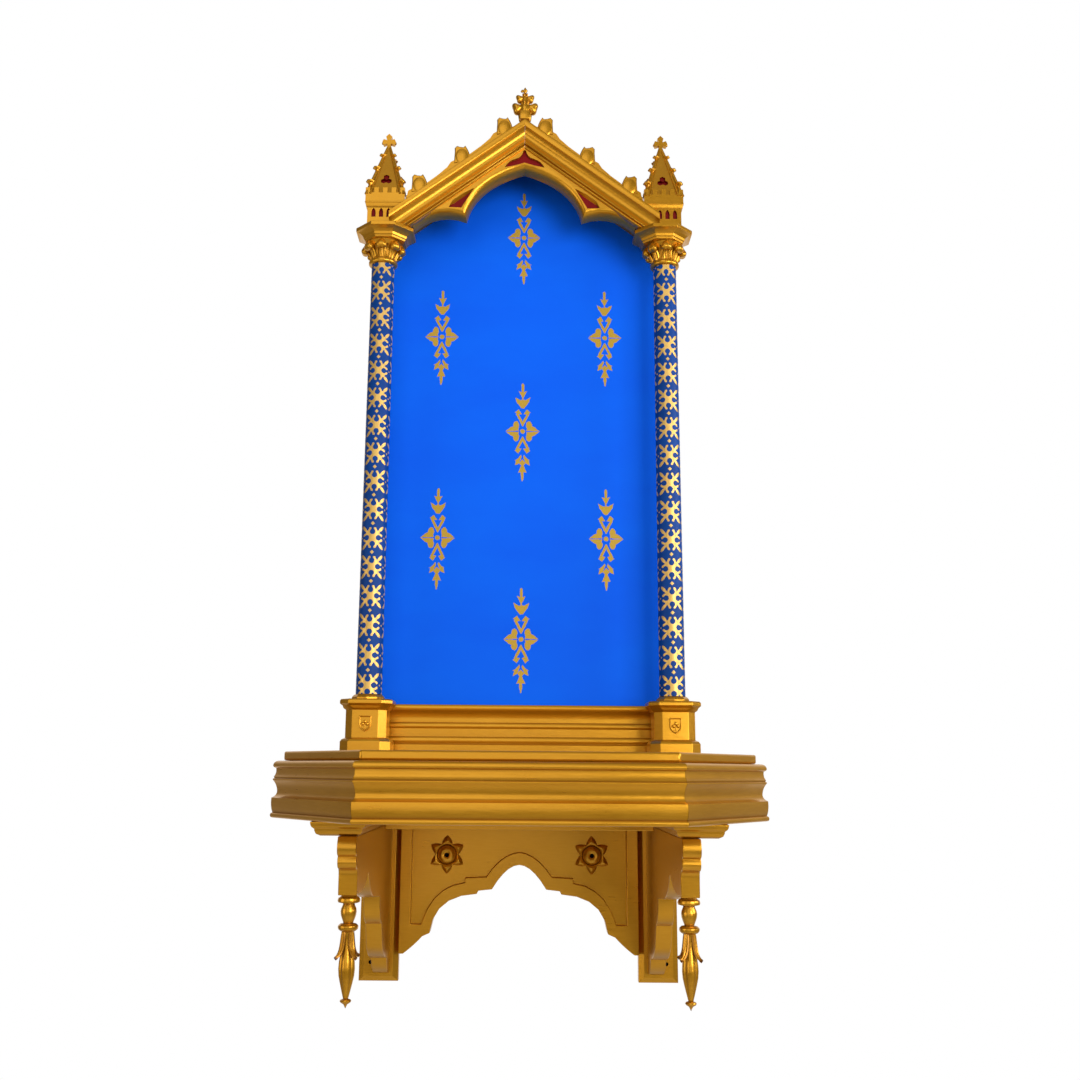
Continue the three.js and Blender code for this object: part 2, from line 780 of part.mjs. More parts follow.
function apron() {
  const top = shelfBottom - jointGap;
  const margin = 5;
  const edge = new THREE.Path();
  edge.moveTo(0, -142.6);
  edge.quadraticCurveTo(17, -143, 36, -174);
  edge.lineTo(54, -176);
  edge.lineTo(56, -180);
  edge.quadraticCurveTo(112, -182, 117.6, -230);
  edge.lineTo(127, -234);
  edge.quadraticCurveTo(138, -246, 152, apronFoot);
  edge.lineTo(apronHalfWidth, apronFoot);
  edge.lineTo(apronHalfWidth, top);
  edge.lineTo(0, top);
  const field = new THREE.Path();
  field.moveTo(0, -126.5);
  field.quadraticCurveTo(24, -129, 43.6, -158.4);
  field.lineTo(71.6, -159.7);
  field.lineTo(72, -166);
  field.quadraticCurveTo(114, -170, 129, -219);
  field.lineTo(143, -219);
  field.lineTo(143, top + margin);
  field.lineTo(0, top + margin);
  const board = frontSlab(bothHalves(edge, 5), -apronThickness, 0);
  const sinking = frontSlab(bothHalves(field, 5), -apronThickness - margin, apronSinking - apronThickness);
  const holes = [-rosetteX, rosetteX].map((x) => screwHole(x, rosetteHeight, apronThickness));
  return cut(board, [sinking, ...holes]);
}

// A star of six pointed petals round a pierced boss

function rosette() {
  const petals = 6;
  const profile = [
    [0, 0], [rosetteRadius, 0], [rosetteRadius, 2], [17, 7], [12.5, 4], [bossRadius, 7], [7, rosetteRise],
    [0, rosetteRise],
  ].map(([radius, rise]) => new THREE.Vector2(radius, rise));
  const star = new THREE.LatheGeometry(profile, petals * 4);
  reshape(star, (p) => {
    const turn = Math.atan2(p.z, p.x) / (2 * Math.PI) * petals + petals;
    const towardsTip = 1 - 2 * Math.abs((turn % 1) - 0.5);
    const outside = THREE.MathUtils.smoothstep(Math.hypot(p.x, p.z), bossRadius, rosetteRadius);
    const shrink = 1 - 0.38 * (1 - towardsTip) * outside;
    p.set(p.x * shrink, -p.y, -p.z * shrink);
  });
  const bed = apronSinking - apronThickness - jointGap;
  star.translate(rosetteX, bed, rosetteHeight);
  return cut(star, [screwHole(rosetteX, rosetteHeight, apronThickness)]);
}

function crossBatten() {
  const reach = bracketInner - 10;
  const batten = new THREE.BoxGeometry(2 * reach, battenDepth, battenHeight);
  const top = shelfBottom - jointGap;
  return batten.translate(0, battenFront + battenDepth / 2, top - battenHeight / 2);
}

// The whole shrine

const shrine = new THREE.Group();
shrine.position.z = -originHeight;

function add(name, geometry, paint) {
  const mesh = new THREE.Mesh(closed(geometry), new THREE.MeshStandardMaterial(paint));
  mesh.name = name;
  shrine.add(mesh);
}

function addPair(name, geometry, paint) {
  add(`${name}_right`, geometry, paint);
  add(`${name}_left`, mirrored(geometry), paint);
}

add('back_panel', backPanel(), panelBlue);
add('gable_tracery', gableTracery(), gold);
addPair('rake', rake(), gold);
addPair('crocket_ridge', crocketRidge(), gold);
add('apex_finial', apexFinial(), gold);
addPair('pinnacle', pinnacle(), gold);
addPair('abacus', abacus(), gold);
addPair('capital', capital(), gold);
addPair('column', column(), columnBlue);
addPair('pedestal', pedestal(), gold);
add('predella', predella(), gold);
add('shelf_board', shelfBoard(), gold);
add('shelf_underboard', shelfUnderboard(), gold);
['side_right', 'cant_right', 'front', 'cant_left', 'side_left'].forEach((place, i) => {
  add(`shelf_moulding_${place}`, shelfMoulding(i), gold);
});
add('cross_batten', crossBatten(), gold);
addPair('bracket_cap', bracketCap(), gold);
addPair('bracket_board', bracketBoard(), gold);
addPair('pendant', pendant(), gold);
addPair('wall_plate', wallPlate(), gold);
add('apron', apron(), gold);
addPair('rosette', rosette(), gold);

export default shrine;
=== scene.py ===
import math

import bmesh
import bpy
from mathutils import Matrix, Vector


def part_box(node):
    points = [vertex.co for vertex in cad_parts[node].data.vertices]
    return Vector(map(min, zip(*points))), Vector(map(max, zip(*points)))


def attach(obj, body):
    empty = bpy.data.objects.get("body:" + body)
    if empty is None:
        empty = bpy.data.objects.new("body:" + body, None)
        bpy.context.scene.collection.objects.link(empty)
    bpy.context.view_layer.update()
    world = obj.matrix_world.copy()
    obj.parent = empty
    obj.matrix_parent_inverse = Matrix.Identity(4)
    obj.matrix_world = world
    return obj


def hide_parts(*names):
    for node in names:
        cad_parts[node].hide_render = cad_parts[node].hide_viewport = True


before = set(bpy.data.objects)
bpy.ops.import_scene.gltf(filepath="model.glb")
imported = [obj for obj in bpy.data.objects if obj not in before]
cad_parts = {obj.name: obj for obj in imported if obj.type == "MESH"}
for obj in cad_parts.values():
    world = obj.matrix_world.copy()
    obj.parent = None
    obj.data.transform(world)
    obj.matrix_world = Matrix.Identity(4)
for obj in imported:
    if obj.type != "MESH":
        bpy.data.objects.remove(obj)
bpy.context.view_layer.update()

mm = 0.001
sides = {"right": 1, "left": -1}
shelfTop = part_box("shelf_board")[1].z
columnLow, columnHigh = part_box("column_right")
columnAxis = (columnLow + columnHigh) / 2


def level(height):  # height over the shelf in millimetres, as a frame height
    return shelfTop + height * mm


# Node bench: sockets that take part in Python sums, and one method for every other node

class Wire:
    def __init__(self, bench, socket):
        self.bench = bench
        self.socket = socket

    def maths(self, operation, *others, clamp=False):
        terms = dict(enumerate((self, *others)))
        return self.bench.node("ShaderNodeMath", {"operation": operation, "use_clamp": clamp}, terms)

    def __add__(self, other):
        return self.maths("ADD", other)

    def __sub__(self, other):
        return self.maths("SUBTRACT", other)

    def __mul__(self, other):
        return self.maths("MULTIPLY", other)

    def __truediv__(self, other):
        return self.maths("DIVIDE", other)

    def __mod__(self, other):
        return self.maths("FLOORED_MODULO", other)

    def __pow__(self, other):
        return self.maths("POWER", other)

    def __abs__(self):
        return self.maths("ABSOLUTE")

    def __rsub__(self, other):
        return self.bench.node("ShaderNodeMath", {"operation": "SUBTRACT"}, {0: other, 1: self})

    __radd__ = __add__
    __rmul__ = __mul__

    def least(self, *others):
        low = self
        for other in others:
            low = low.maths("MINIMUM", other)
        return low

    def most(self, *others):
        high = self
        for other in others:
            high = high.maths("MAXIMUM", other)
        return high

    def over(self, limit):
        return self.maths("GREATER_THAN", limit)

    def clamped(self):  # held between nought and one
        return self.maths("ADD", 0, clamp=True)


class Bench:
    def __init__(self, tree):
        self.tree = tree
        tree.nodes.clear()

    def node(self, kind, settings=None, sockets=None, output=0):
        made = self.tree.nodes.new(kind)
        for name, value in (settings or {}).items():
            setattr(made, name, value)
        for name, value in (sockets or {}).items():
            if isinstance(value, Wire):
                self.tree.links.new(value.socket, made.inputs[name])
            else:
                made.inputs[name].default_value = value
        return Wire(self, made.outputs[output]) if made.outputs else None

    def axes(self):  # the piece's own X, Y and Z
        where = self.node("ShaderNodeTexCoord", output="Object")
        split = self.node("ShaderNodeSeparateXYZ", sockets={0: where}).socket.node
        return [Wire(self, split.outputs[i]) for i in range(3)]

    def grain(self, scale, detail=3.0, stretch=(1, 1, 1)):
        where = self.node("ShaderNodeTexCoord", output="Object")
        where = self.node("ShaderNodeMapping", sockets={"Vector": where, "Scale": stretch})
        return self.node("ShaderNodeTexNoise", sockets={"Vector": where, "Scale": scale, "Detail": detail})

    def blend(self, share, first, second):
        return self.node("ShaderNodeMix", {"data_type": "RGBA"}, {0: share, 6: first, 7: second}, 2)

    def bump(self, strength, distance, height):
        return self.node("ShaderNodeBump", sockets={
            "Strength": strength, "Distance": distance, "Height": height,
        })

    def finish(self, sockets):
        shader = self.node("ShaderNodeBsdfPrincipled", sockets=sockets)
        self.node("ShaderNodeOutputMaterial", sockets={"Surface": shader})


def newPaint(name):
    paint = bpy.data.materials.new(name)
    paint.use_nodes = True
    return paint, Bench(paint.node_tree)


# Paints

goldFinish = {
    "deep": (0.47, 0.205, 0.001, 1),
    "light": (0.64, 0.325, 0.022, 1),
    # the colour of the painted shade laid into hollows
    "hollowShade": (0.17, 0.050, 0.001, 1),
    "metallic": 0.78,
    "roughness": 0.29,
    "coat": (0.14, 0.16),  # weight and roughness
    "bump": (0.16, 0.0006),  # strength and distance
}


def makeGoldPaint():
    paint, bench = newPaint("goldPaint")
    cloud = bench.grain(9, 4)
    brush = bench.grain(60, 4, (1, 1, 9))
    speck = bench.grain(900, 2)
    hollowShade = bench.node("ShaderNodeAttribute", {"attribute_name": "hollowShade"}, output="Fac")
    tone = (cloud * 0.75 + brush * 0.5 - 0.15).clamped()
    colour = bench.blend(tone, goldFinish["deep"], goldFinish["light"])
    # painted shade: the colour darkens towards this where a point lies in a hollow
    colour = bench.blend((hollowShade * 1.6).clamped(), colour, goldFinish["hollowShade"])
    weight, haze = goldFinish["coat"]
    bench.finish({
        "Base Color": colour,
        "Metallic": goldFinish["metallic"],
        "Roughness": goldFinish["roughness"] - 0.08 + brush * 0.10 + cloud * 0.08 + hollowShade * 0.2,
        "Coat Weight": weight,
        "Coat Roughness": haze,
        "Normal": bench.bump(*goldFinish["bump"], speck * 0.4 + brush * 0.6),
    })
    return paint


redFinish = {
    "deep": (0.10, 0.0006, 0.001, 1),
    "light": (0.24, 0.0015, 0.003, 1),
    "roughness": 0.42,
    "specular": 0.15,
}


def makeRedPaint():
    paint, bench = newPaint("redPaint")
    cloud = bench.grain(70, 3)
    bench.finish({
        "Base Color": bench.blend(cloud, redFinish["deep"], redFinish["light"]),
        "Roughness": redFinish["roughness"] + cloud * 0.2,
        "Specular IOR Level": redFinish["specular"],
    })
    return paint


# near black: painted shade for the ends of screw holes and the rosettes' piercings
holeShadePaint = {"deep": (0.004, 0.002, 0.001, 1), "light": (0.012, 0.006, 0.003, 1), "roughness": 0.75}


def makeHoleShade():
    paint, bench = newPaint("holeShade")
    cloud = bench.grain(300, 2)
    bench.finish({
        "Base Color": bench.blend(cloud, holeShadePaint["deep"], holeShadePaint["light"]),
        "Roughness": holeShadePaint["roughness"] + cloud * 0.2,
    })
    return paint


panelStencil = {
    "first": 759,  # height of the top motif
    "repeat": 300,
    "sideX": 119,
    "sideDrop": 157,
    "soft": 0.55,
    "ragged": 1.9,
    "face": -19,  # only what lies in front of this depth is stencilled
    "foot": 80,  # and over this height
}


def ellipse(u, w, across, up, wide, tall):  # less than zero inside, in millimetres near its edge
    reach = (((u - across) / wide) ** 2 + ((w - up) / tall) ** 2) ** 0.5
    return (reach - 1) * min(wide, tall)


def convex(point, corners):  # a straight-sided leaf, its corners anticlockwise; point is (u, w, 1)
    far = None
    for (u0, w0), (u1, w1) in zip(corners, corners[1:] + corners[:1]):
        long = math.hypot(u1 - u0, w1 - w0)
        a, b = (w1 - w0) / long, (u0 - u1) / long
        line = {0: point, 1: (a, b, -a * u0 - b * w0)}
        off = point.bench.node("ShaderNodeVectorMath", {"operation": "DOT_PRODUCT"}, line, "Value")
        far = off if far is None else far.most(off)
    return far


stencilLeaves = {
    "spike": [(-1, 58), (1.9, 58), (1.9, 70.5), (0.5, 72), (-1, 72)],
    "calyx": [(-0.5, 50), (0.6, 50), (5.8, 60.6), (-0.5, 58.6)],
    "stem": [(-0.5, 46), (0.9, 46), (0.9, 52), (-0.5, 52)],
    "cup": [(-0.5, 34.6), (2.2, 34.8), (9.5, 44.8), (8.8, 46.6), (-0.5, 47.6)],
    "ear": [(3, 45), (9.3, 45), (10.8, 51), (5, 47.8)],
    "sepal": [(2.2, -35), (1.2, -38), (5, -48), (10.8, -50.6), (9.2, -43.8)],
    "barb": [(5, -39.5), (6.5, -44.5), (11, -43.2)],
    "bud": [(-0.5, -41), (-0.5, -52), (1.5, -51.5), (5, -47)],
    "arrow": [(-0.5, -50), (-0.5, -60.5), (6.1, -61.3), (1.3, -50)],
    "tail": [(-0.5, -60), (-0.5, -73.6), (0.8, -73.6), (2.1, -66), (2.0, -60)],
}
mirroredLeaves = {  # the same above and below the middle
    "vee": [(-0.4, 7.6), (0.8, 8.0), (10, 26.5), (6.6, 27.5), (-0.4, 14)],
    "veeHead": [(1.2, 25.8), (6.5, 25), (11.2, 28.5), (5.9, 33)],
}
sideLeaf = [(5.4, 0.6), (24, 0.3), (17.5, 6.0), (11, 9), (6.6, 6)]


def stencilMotif(bench, u, w):
    v = abs(w)
    point = bench.node("ShaderNodeCombineXYZ", sockets={0: u, 1: w, 2: 1.0})
    folded = bench.node("ShaderNodeCombineXYZ", sockets={0: u, 1: v, 2: 1.0})
    slit = (v - (17 - u) * 0.1).most(7 - u)
    leaves = convex(folded, sideLeaf).least(ellipse(u, v, 9.3, 8.6, 4.3, 6.4)).most(0 - slit)
    dot = (u ** 2 + w ** 2) ** 0.5 - 3.4
    upright = [convex(point, corners) for corners in stencilLeaves.values()]
    doubled = [convex(folded, corners) for corners in mirroredLeaves.values()]
    return dot.least(leaves, *upright, *doubled)


blueFinish = {
    "deep": (0.002, 0.090, 0.88, 1),
    "light": (0.002, 0.145, 1.0, 1),
    "stencil": (0.46, 0.30, 0.045, 1),
    "shine": 0.35,  # how metallic the stencil is
    "roughness": 0.52,
    "specular": 0.06,
    "bump": (0.08, 0.0005),  # strength and distance
}


def makePanelPaint():
    paint, bench = newPaint("panelBlue")
    x, y, z = bench.axes()
    ragged = bench.grain(480, 3)
    across = abs(x) / mm
    besides = across.over(panelStencil["sideX"] / 2)
    repeat = panelStencil["repeat"]
    rise = (z - level(panelStencil["first"])) / mm + besides * panelStencil["sideDrop"] + repeat / 2
    edge = stencilMotif(bench, abs(across - besides * panelStencil["sideX"]), rise % repeat - repeat / 2)
    edge = edge + (ragged - 0.5) * panelStencil["ragged"]
    mask = (0.5 - edge / panelStencil["soft"]).clamped()
    mask = mask * (panelStencil["face"] * mm - y).over(0) * (z - level(panelStencil["foot"])).over(0)
    cloud = bench.grain(5, 3, (1, 1, 2.2))
    roller = bench.grain(420, 2)
    blue = bench.blend(cloud, blueFinish["deep"], blueFinish["light"])
    bench.finish({
        "Base Color": bench.blend(mask, blue, blueFinish["stencil"]),
        "Metallic": mask * blueFinish["shine"],
        "Roughness": blueFinish["roughness"] - mask * 0.1 + roller * 0.1,
        "Specular IOR Level": blueFinish["specular"],
        "Normal": bench.bump(*blueFinish["bump"], roller + mask * 0.6),
    })
    return paint


columnStencil = {
    "first": 685,  # height of the top motif
    "repeat": 39.7,
    "around": 3,
    "radius": 17,
    "soft": 0.5,
    "ragged": 0.9,
    "curl": (8.4, 5.1, 1.3),  # centre, radius and half the thickness of a curl
}
diagonal = math.sqrt(0.5)


def columnMotif(a, b, halfWidth, halfHeight):
    s = (a + b) * diagonal
    t = abs(a - b) * diagonal
    limb = (t - 1.9).most(s - 12.5)
    leaf = ellipse(s, t, 17.0, 0, 5.2, 2.1)
    centre, radius, thick = columnStencil["curl"]
    curls = []
    for along, beside in ((b, a), (a, b)):  # the curls above and below, then those at the sides
        ring = abs((beside ** 2 + (along - centre) ** 2) ** 0.5 - radius) - thick
        opening = (2.2 - beside).least(along - centre)
        curls += [ring.most(opening), ellipse(along, beside, 12.9, 3.3, 1.3, 1.6)]
    between = (a + (halfHeight - b)) * diagonal - 1.9
    besides = ((halfWidth - a) + b) * diagonal - 1.0
    return limb.least(leaf, between, besides, *curls)


columnFinish = {
    "deep": (0.0, 0.028, 0.17, 1),
    "light": (0.0, 0.060, 0.34, 1),
    "stencil": (0.66, 0.43, 0.13, 1),
    "shine": 0.5,  # how metallic the stencil is
    "roughness": 0.40,
    "specular": 0.15,
}


def makeColumnPaint():
    paint, bench = newPaint("columnBlue")
    x, y, z = bench.axes()
    ragged = bench.grain(900, 2)
    turn = (y - columnAxis.y).maths("ARCTAN2", abs(x) - columnAxis.x)
    share = 2 * math.pi / columnStencil["around"]
    repeat = columnStencil["repeat"]
    a = abs((turn + math.pi / 2 + share / 2) % share - share / 2) * columnStencil["radius"]
    b = abs(((z - level(columnStencil["first"])) / mm + repeat / 2) % repeat - repeat / 2)
    edge = columnMotif(a, b, share / 2 * columnStencil["radius"], repeat / 2)
    edge = edge + (ragged - 0.5) * columnStencil["ragged"]
    mask = (0.5 - edge / columnStencil["soft"]).clamped()
    cloud = bench.grain(30, 3)
    blue = bench.blend(cloud, columnFinish["deep"], columnFinish["light"])
    bench.finish({
        "Base Color": bench.blend(mask, blue, columnFinish["stencil"]),
        "Metallic": mask * columnFinish["shine"],
        "Roughness": columnFinish["roughness"] + cloud * 0.12 - mask * 0.08,
        "Specular IOR Level": columnFinish["specular"],
    })
    return paint


gold = makeGoldPaint()
red = makeRedPaint()
holeShade = makeHoleShade()
panelBlue = makePanelPaint()
columnBlue = makeColumnPaint()
print("paints mixed")


# Shared ways of making a piece

def copyOf(node):  # a merged copy of a CAD node with its flat faces whole
    bm = bmesh.new()
    bm.from_mesh(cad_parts[node].data)
    bmesh.ops.remove_doubles(bm, verts=bm.verts, dist=0.01 * mm)
    flat = math.radians(0.4)
    bmesh.ops.dissolve_limit(bm, angle_limit=flat, verts=bm.verts, edges=bm.edges)
    return bm


def markHollowShade(bm):  # how far each point lies in a hollow, for the painted shade there
    bm.normal_update()
    layer = bm.verts.layers.float.new("hollowShade")
    for vert in bm.verts:
        ways = [(edge.other_vert(vert).co - vert.co).normalized() for edge in vert.link_edges]
        bends = [vert.normal.dot(way) for way in ways]
        vert[layer] = max(0.0, min(1.0, sum(bends) / max(len(bends), 1) * 1.3))


def makePiece(name, bm, paints, slot, nodes, bevel=0.0, sharp=33, carved=False):
    # a carved piece gets painted shade in its hollows
    if carved:
        markHollowShade(bm)
    mesh = bpy.data.meshes.new(name)
    bm.to_mesh(mesh)
    bm.free()
    for paint in paints:
        mesh.materials.append(paint)
    mesh.shade_smooth()
    mesh.set_sharp_from_angle(angle=math.radians(sharp))
    piece = bpy.data.objects.new(name, mesh)
    bpy.context.collection.objects.link(piece)
    if bevel:
        soften = piece.modifiers.new("softEdges", "BEVEL")
        soften.width = bevel * mm
        soften.segments = 2
        soften.limit_method = "ANGLE"
        soften.angle_limit = math.radians(28)
        soften.harden_normals = True
        piece.modifiers.new("flatFaces", "WEIGHTED_NORMAL").keep_sharp = True
    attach(piece, "root")
    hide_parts(*nodes)
    return piece


def mirror(bm):
    bmesh.ops.transform(bm, matrix=Matrix.Scale(-1, 4, (1, 0, 0)), verts=bm.verts)
    bmesh.ops.reverse_faces(bm, faces=bm.faces)


def makePair(node, build, paints, slot="gilding", **finish):
    for side, sign in sides.items():
        bm = build()
        if sign < 0:
            mirror(bm)
        makePiece(f"{node}.{side}", bm, paints, slot, [f"{node}_{side}"], **finish)


def place(bm, part, matrix=Matrix.Identity(4)):  # puts a small mesh into a larger one
    mesh = bpy.data.meshes.new("part")
    part.to_mesh(mesh)
    part.free()
    mesh.transform(matrix)
    bm.from_mesh(mesh)
    bpy.data.meshes.remove(mesh)


def turned(profile, steps):  # pairs of radius and height in millimetres, from axis to axis
    bm = bmesh.new()
    verts = [bm.verts.new((radius * mm, 0, height * mm)) for radius, height in profile]
    edges = [bm.edges.new(ends) for ends in zip(verts, verts[1:])]
    bmesh.ops.spin(
        bm, geom=verts + edges, cent=(0, 0, 0), axis=(0, 0, 1), angle=2 * math.pi, steps=steps,
        use_merge=True,
    )
    bmesh.ops.remove_doubles(bm, verts=bm.verts, dist=0.001 * mm)
    bmesh.ops.recalc_face_normals(bm, faces=bm.faces)
    return bm


def bowed(start, control, end, steps=8):  # a curve from start to end, without its start
    points = []
    for i in range(1, steps + 1):
        t = i / steps
        points.append(tuple(
            (1 - t) ** 2 * a + 2 * t * (1 - t) * b + t * t * c for a, b, c in zip(start, control, end)
        ))
    return points


def carvedLeaf(length, width, thickness, lean, curl, power):  # rises along Z and bends out towards -Y
    rows, columns = 14, 8
    turnings = [lean + curl * (row / rows) ** power for row in range(rows + 1)]
    spine = [(0.0, 0.0)]
    for first, second in zip(turnings, turnings[1:]):
        middle = (first + second) / 2
        out, up = spine[-1]
        spine.append((out + length / rows * math.sin(middle), up + length / rows * math.cos(middle)))
    bm = bmesh.new()
    bmesh.ops.create_grid(bm, x_segments=columns, y_segments=rows, size=1)
    for vert in bm.verts:
        across, row = vert.co.x, round((vert.co.y + 1) / 2 * rows)
        along = row / rows
        waist = 1 - 0.18 * abs(math.sin(math.pi * along))
        spread = math.sin(math.pi * (0.14 + 0.80 * along)) ** 0.7 * waist
        relief = thickness * (0.55 * math.cos(math.pi / 2 * across) + 0.28 * math.cos(3 * math.pi * across))
        angle = turnings[row]
        out, up = spine[row]
        vert.co = Vector((
            across * width / 2 * spread,
            -out - relief * math.cos(angle),
            up - relief * math.sin(angle),
        )) * mm
    bmesh.ops.recalc_face_normals(bm, faces=bm.faces)
    bmesh.ops.solidify(bm, geom=bm.faces[:], thickness=thickness * mm)
    bmesh.ops.recalc_face_normals(bm, faces=bm.faces)
    return bm


def easedBlock(wide, deep, tall, ease, segments):  # its middle at the origin
    bm = bmesh.new()
    bmesh.ops.create_cube(bm, size=1, matrix=Matrix.Diagonal((wide * mm, deep * mm, tall * mm, 1)))
    bmesh.ops.bevel(
        bm, geom=bm.edges[:], offset=ease * mm, affect="EDGES", segments=segments, profile=0.5, material=-1,
    )
    return bm


def leafBud(radius, lobes, flatten):  # a curled leaf head that faces -Y, scalloped round its middle
    bm = bmesh.new()
    bmesh.ops.create_icosphere(bm, subdivisions=4, radius=1)
    for vert in bm.verts:
        turn = math.atan2(vert.co.x, vert.co.z)
        rim = 1 - vert.co.y ** 2
        swell = 1 + 0.17 * rim * math.cos(lobes * turn) - 0.10 * max(0.0, -vert.co.y) ** 6
        vert.co = Vector((vert.co.x, vert.co.y * flatten, vert.co.z)) * swell * radius * mm
    return bm


def spot(x, y, z):
    return Matrix.Translation(Vector((x, y, z)) * mm)


def around(turn):
    return Matrix.Rotation(turn, 4, "Z")


# Boards and mouldings that keep their CAD form, with eased edges

easedEdges = {
    "shelf_board": 2.2, "shelf_underboard": 0.6, "cross_batten": 1.0, "predella": 0.5,
    "abacus": 0.6, "bracket_cap": 0.6, "bracket_board": 0.9,
}
shadedInHollows = {"predella", "abacus"}  # with painted shade in their hollows
for node, ease in easedEdges.items():
    pieces = {f"{node}.{side}": f"{node}_{side}" for side in sides}
    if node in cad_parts:
        pieces = {node.replace("_", "."): node}
    for name, solid in pieces.items():
        makePiece(name, copyOf(solid), [gold], "gilding", [solid], bevel=ease, carved=node in shadedInHollows)
print("boards and mouldings eased")


# Raking mouldings: the solid behind, with a finer moulded front that closes up at the apex

gableSlope = 0.7535  # fall for each step outwards
rakeMoulding = {
    "top": 903,
    "deep": 9.4,
    "lap": 0.1,
    "runs": (-40, 290),  # from past the apex to past the foot
    "gap": 0.05,  # at the apex, for the joint between the two
}


def rakeSection():  # pairs of drop below the top edge and depth behind the front
    section = [(0, rakeMoulding["deep"])]
    section += bowed((0, 0.8), (0, 0), (0.8, 0), 3)
    section += bowed((7.7, 0), (8.5, 0), (8.6, 0.8), 3)
    section += bowed((8.6, 0.8), (14.5, 13.6), (26.2, 5.8), 16)
    section += bowed((26.8, 6.5), (27.8, 4.8), (28.8, 6.5), 6)
    section += [(29.0, 8.7), (30.6, 8.7)]
    section += bowed((30.8, 7.9), (31.9, 5.9), (33.0, 7.9), 6)
    return section + [(33.0, rakeMoulding["deep"])]


def cutOff(bm, at, out):  # takes away what lies beyond a plane and closes the cut
    geom = bm.verts[:] + bm.edges[:] + bm.faces[:]
    bmesh.ops.bisect_plane(bm, geom=geom, dist=0.001 * mm, plane_co=at, plane_no=out, clear_outer=True)
    rims = [e for e in bm.edges if e.is_boundary]
    bmesh.ops.triangle_fill(bm, use_beauty=True, edges=rims, normal=out)


def buildRake():
    low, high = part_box("rake_right")
    bm = copyOf("rake_right")
    for vert in bm.verts:
        if vert.co.x < mm:
            vert.co.x = rakeMoulding["gap"] * mm
    seam = low.y + (rakeMoulding["deep"] - rakeMoulding["lap"]) * mm
    cutOff(bm, (0, seam, 0), (0, -1, 0))
    bar = bmesh.new()
    slope = math.atan(gableSlope)
    fall, spread = math.sin(slope), math.cos(slope)
    start, end = rakeMoulding["runs"]
    verts = []
    for drop, depth in rakeSection():
        x = (start * spread - drop * fall) * mm
        height = rakeMoulding["top"] - start * fall - drop * spread
        verts.append(bar.verts.new((x, low.y + depth * mm, level(height))))
    loop = [bar.edges.new(ends) for ends in zip(verts, verts[1:] + verts[:1])]
    made = bmesh.ops.extrude_edge_only(bar, edges=loop)
    moved = [v for v in made["geom"] if isinstance(v, bmesh.types.BMVert)]
    bmesh.ops.translate(bar, vec=Vector((spread, 0, -fall)) * (end - start) * mm, verts=moved)
    cutOff(bar, (rakeMoulding["gap"] * mm, 0, 0), (-1, 0, 0))
    cutOff(bar, (high.x, 0, 0), (1, 0, 0))
    cutOff(bar, (0, 0, low.z), (0, 0, -1))
    bmesh.ops.recalc_face_normals(bar, faces=bar.faces)
    place(bm, bar)
    bmesh.ops.recalc_face_normals(bm, faces=bm.faces)
    return bm


makePair("rake", buildRake, [gold], carved=True)
print("rakes moulded")


# Back panel

makePiece("panel", copyOf("back_panel"), [panelBlue], "panel_paint", ["back_panel"], bevel=0.8)


# Shelf edging, with a finer section than the solid

shelfEdging = {"tuck": 30, "top": -10.3, "foot": -73, "gap": 0.3}


def edgingSection():  # pairs of reach past the corner line and height
    tuck, top, foot = shelfEdging["tuck"], shelfEdging["top"], shelfEdging["foot"]
    section = [(-tuck, top), (-tuck, foot), (-3, foot)]
    section += bowed((-3, foot), (1.0, foot), (0.9, -70), 5)
    section += bowed((0.9, -70), (0.8, -67.6), (-1.5, -67.1), 5)
    section += bowed((-1.0, -66.4), (1.0, -58), (0.2, -51), 6)
    section += bowed((0.2, -51), (-5.8, -48.5), (-5.4, -43), 8)
    section += bowed((-5.4, -43), (-4.6, -36), (-0.4, -31.5), 8)
    section += bowed((-0.4, -31.5), (0.2, -30.2), (-1.8, -29.7), 4)
    section += bowed((-0.4, -28.9), (-4.4, -25), (-3.4, -18.8), 8)
    section += bowed((-3.2, -18.2), (1.0, -17.6), (-0.4, -14), 6)
    section += bowed((-0.4, -14), (-1.8, -10.6), (-6.5, top), 6)
    return section


def shelfCorners():
    low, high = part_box("shelf_moulding_front")
    left, right = low.x / mm, high.x / mm
    sideLow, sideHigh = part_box("shelf_moulding_side_right")
    wide = sideHigh.x / mm
    deep = -sideLow.y / mm
    front = -low.y / mm
    return [(wide, 0), (wide, -deep), (right, -front), (left, -front), (-wide, -deep), (-wide, 0)]


def mitres(corners):
    normals = []
    for (x0, y0), (x1, y1) in zip(corners, corners[1:]):
        along = Vector((x1 - x0, y1 - y0)).normalized()
        normals.append(Vector((-along.y, along.x)))
    outward = [normals[0]]
    for before, after in zip(normals, normals[1:]):
        outward.append((before + after) / (1 + before.dot(after)))
    return outward + [normals[-1]]


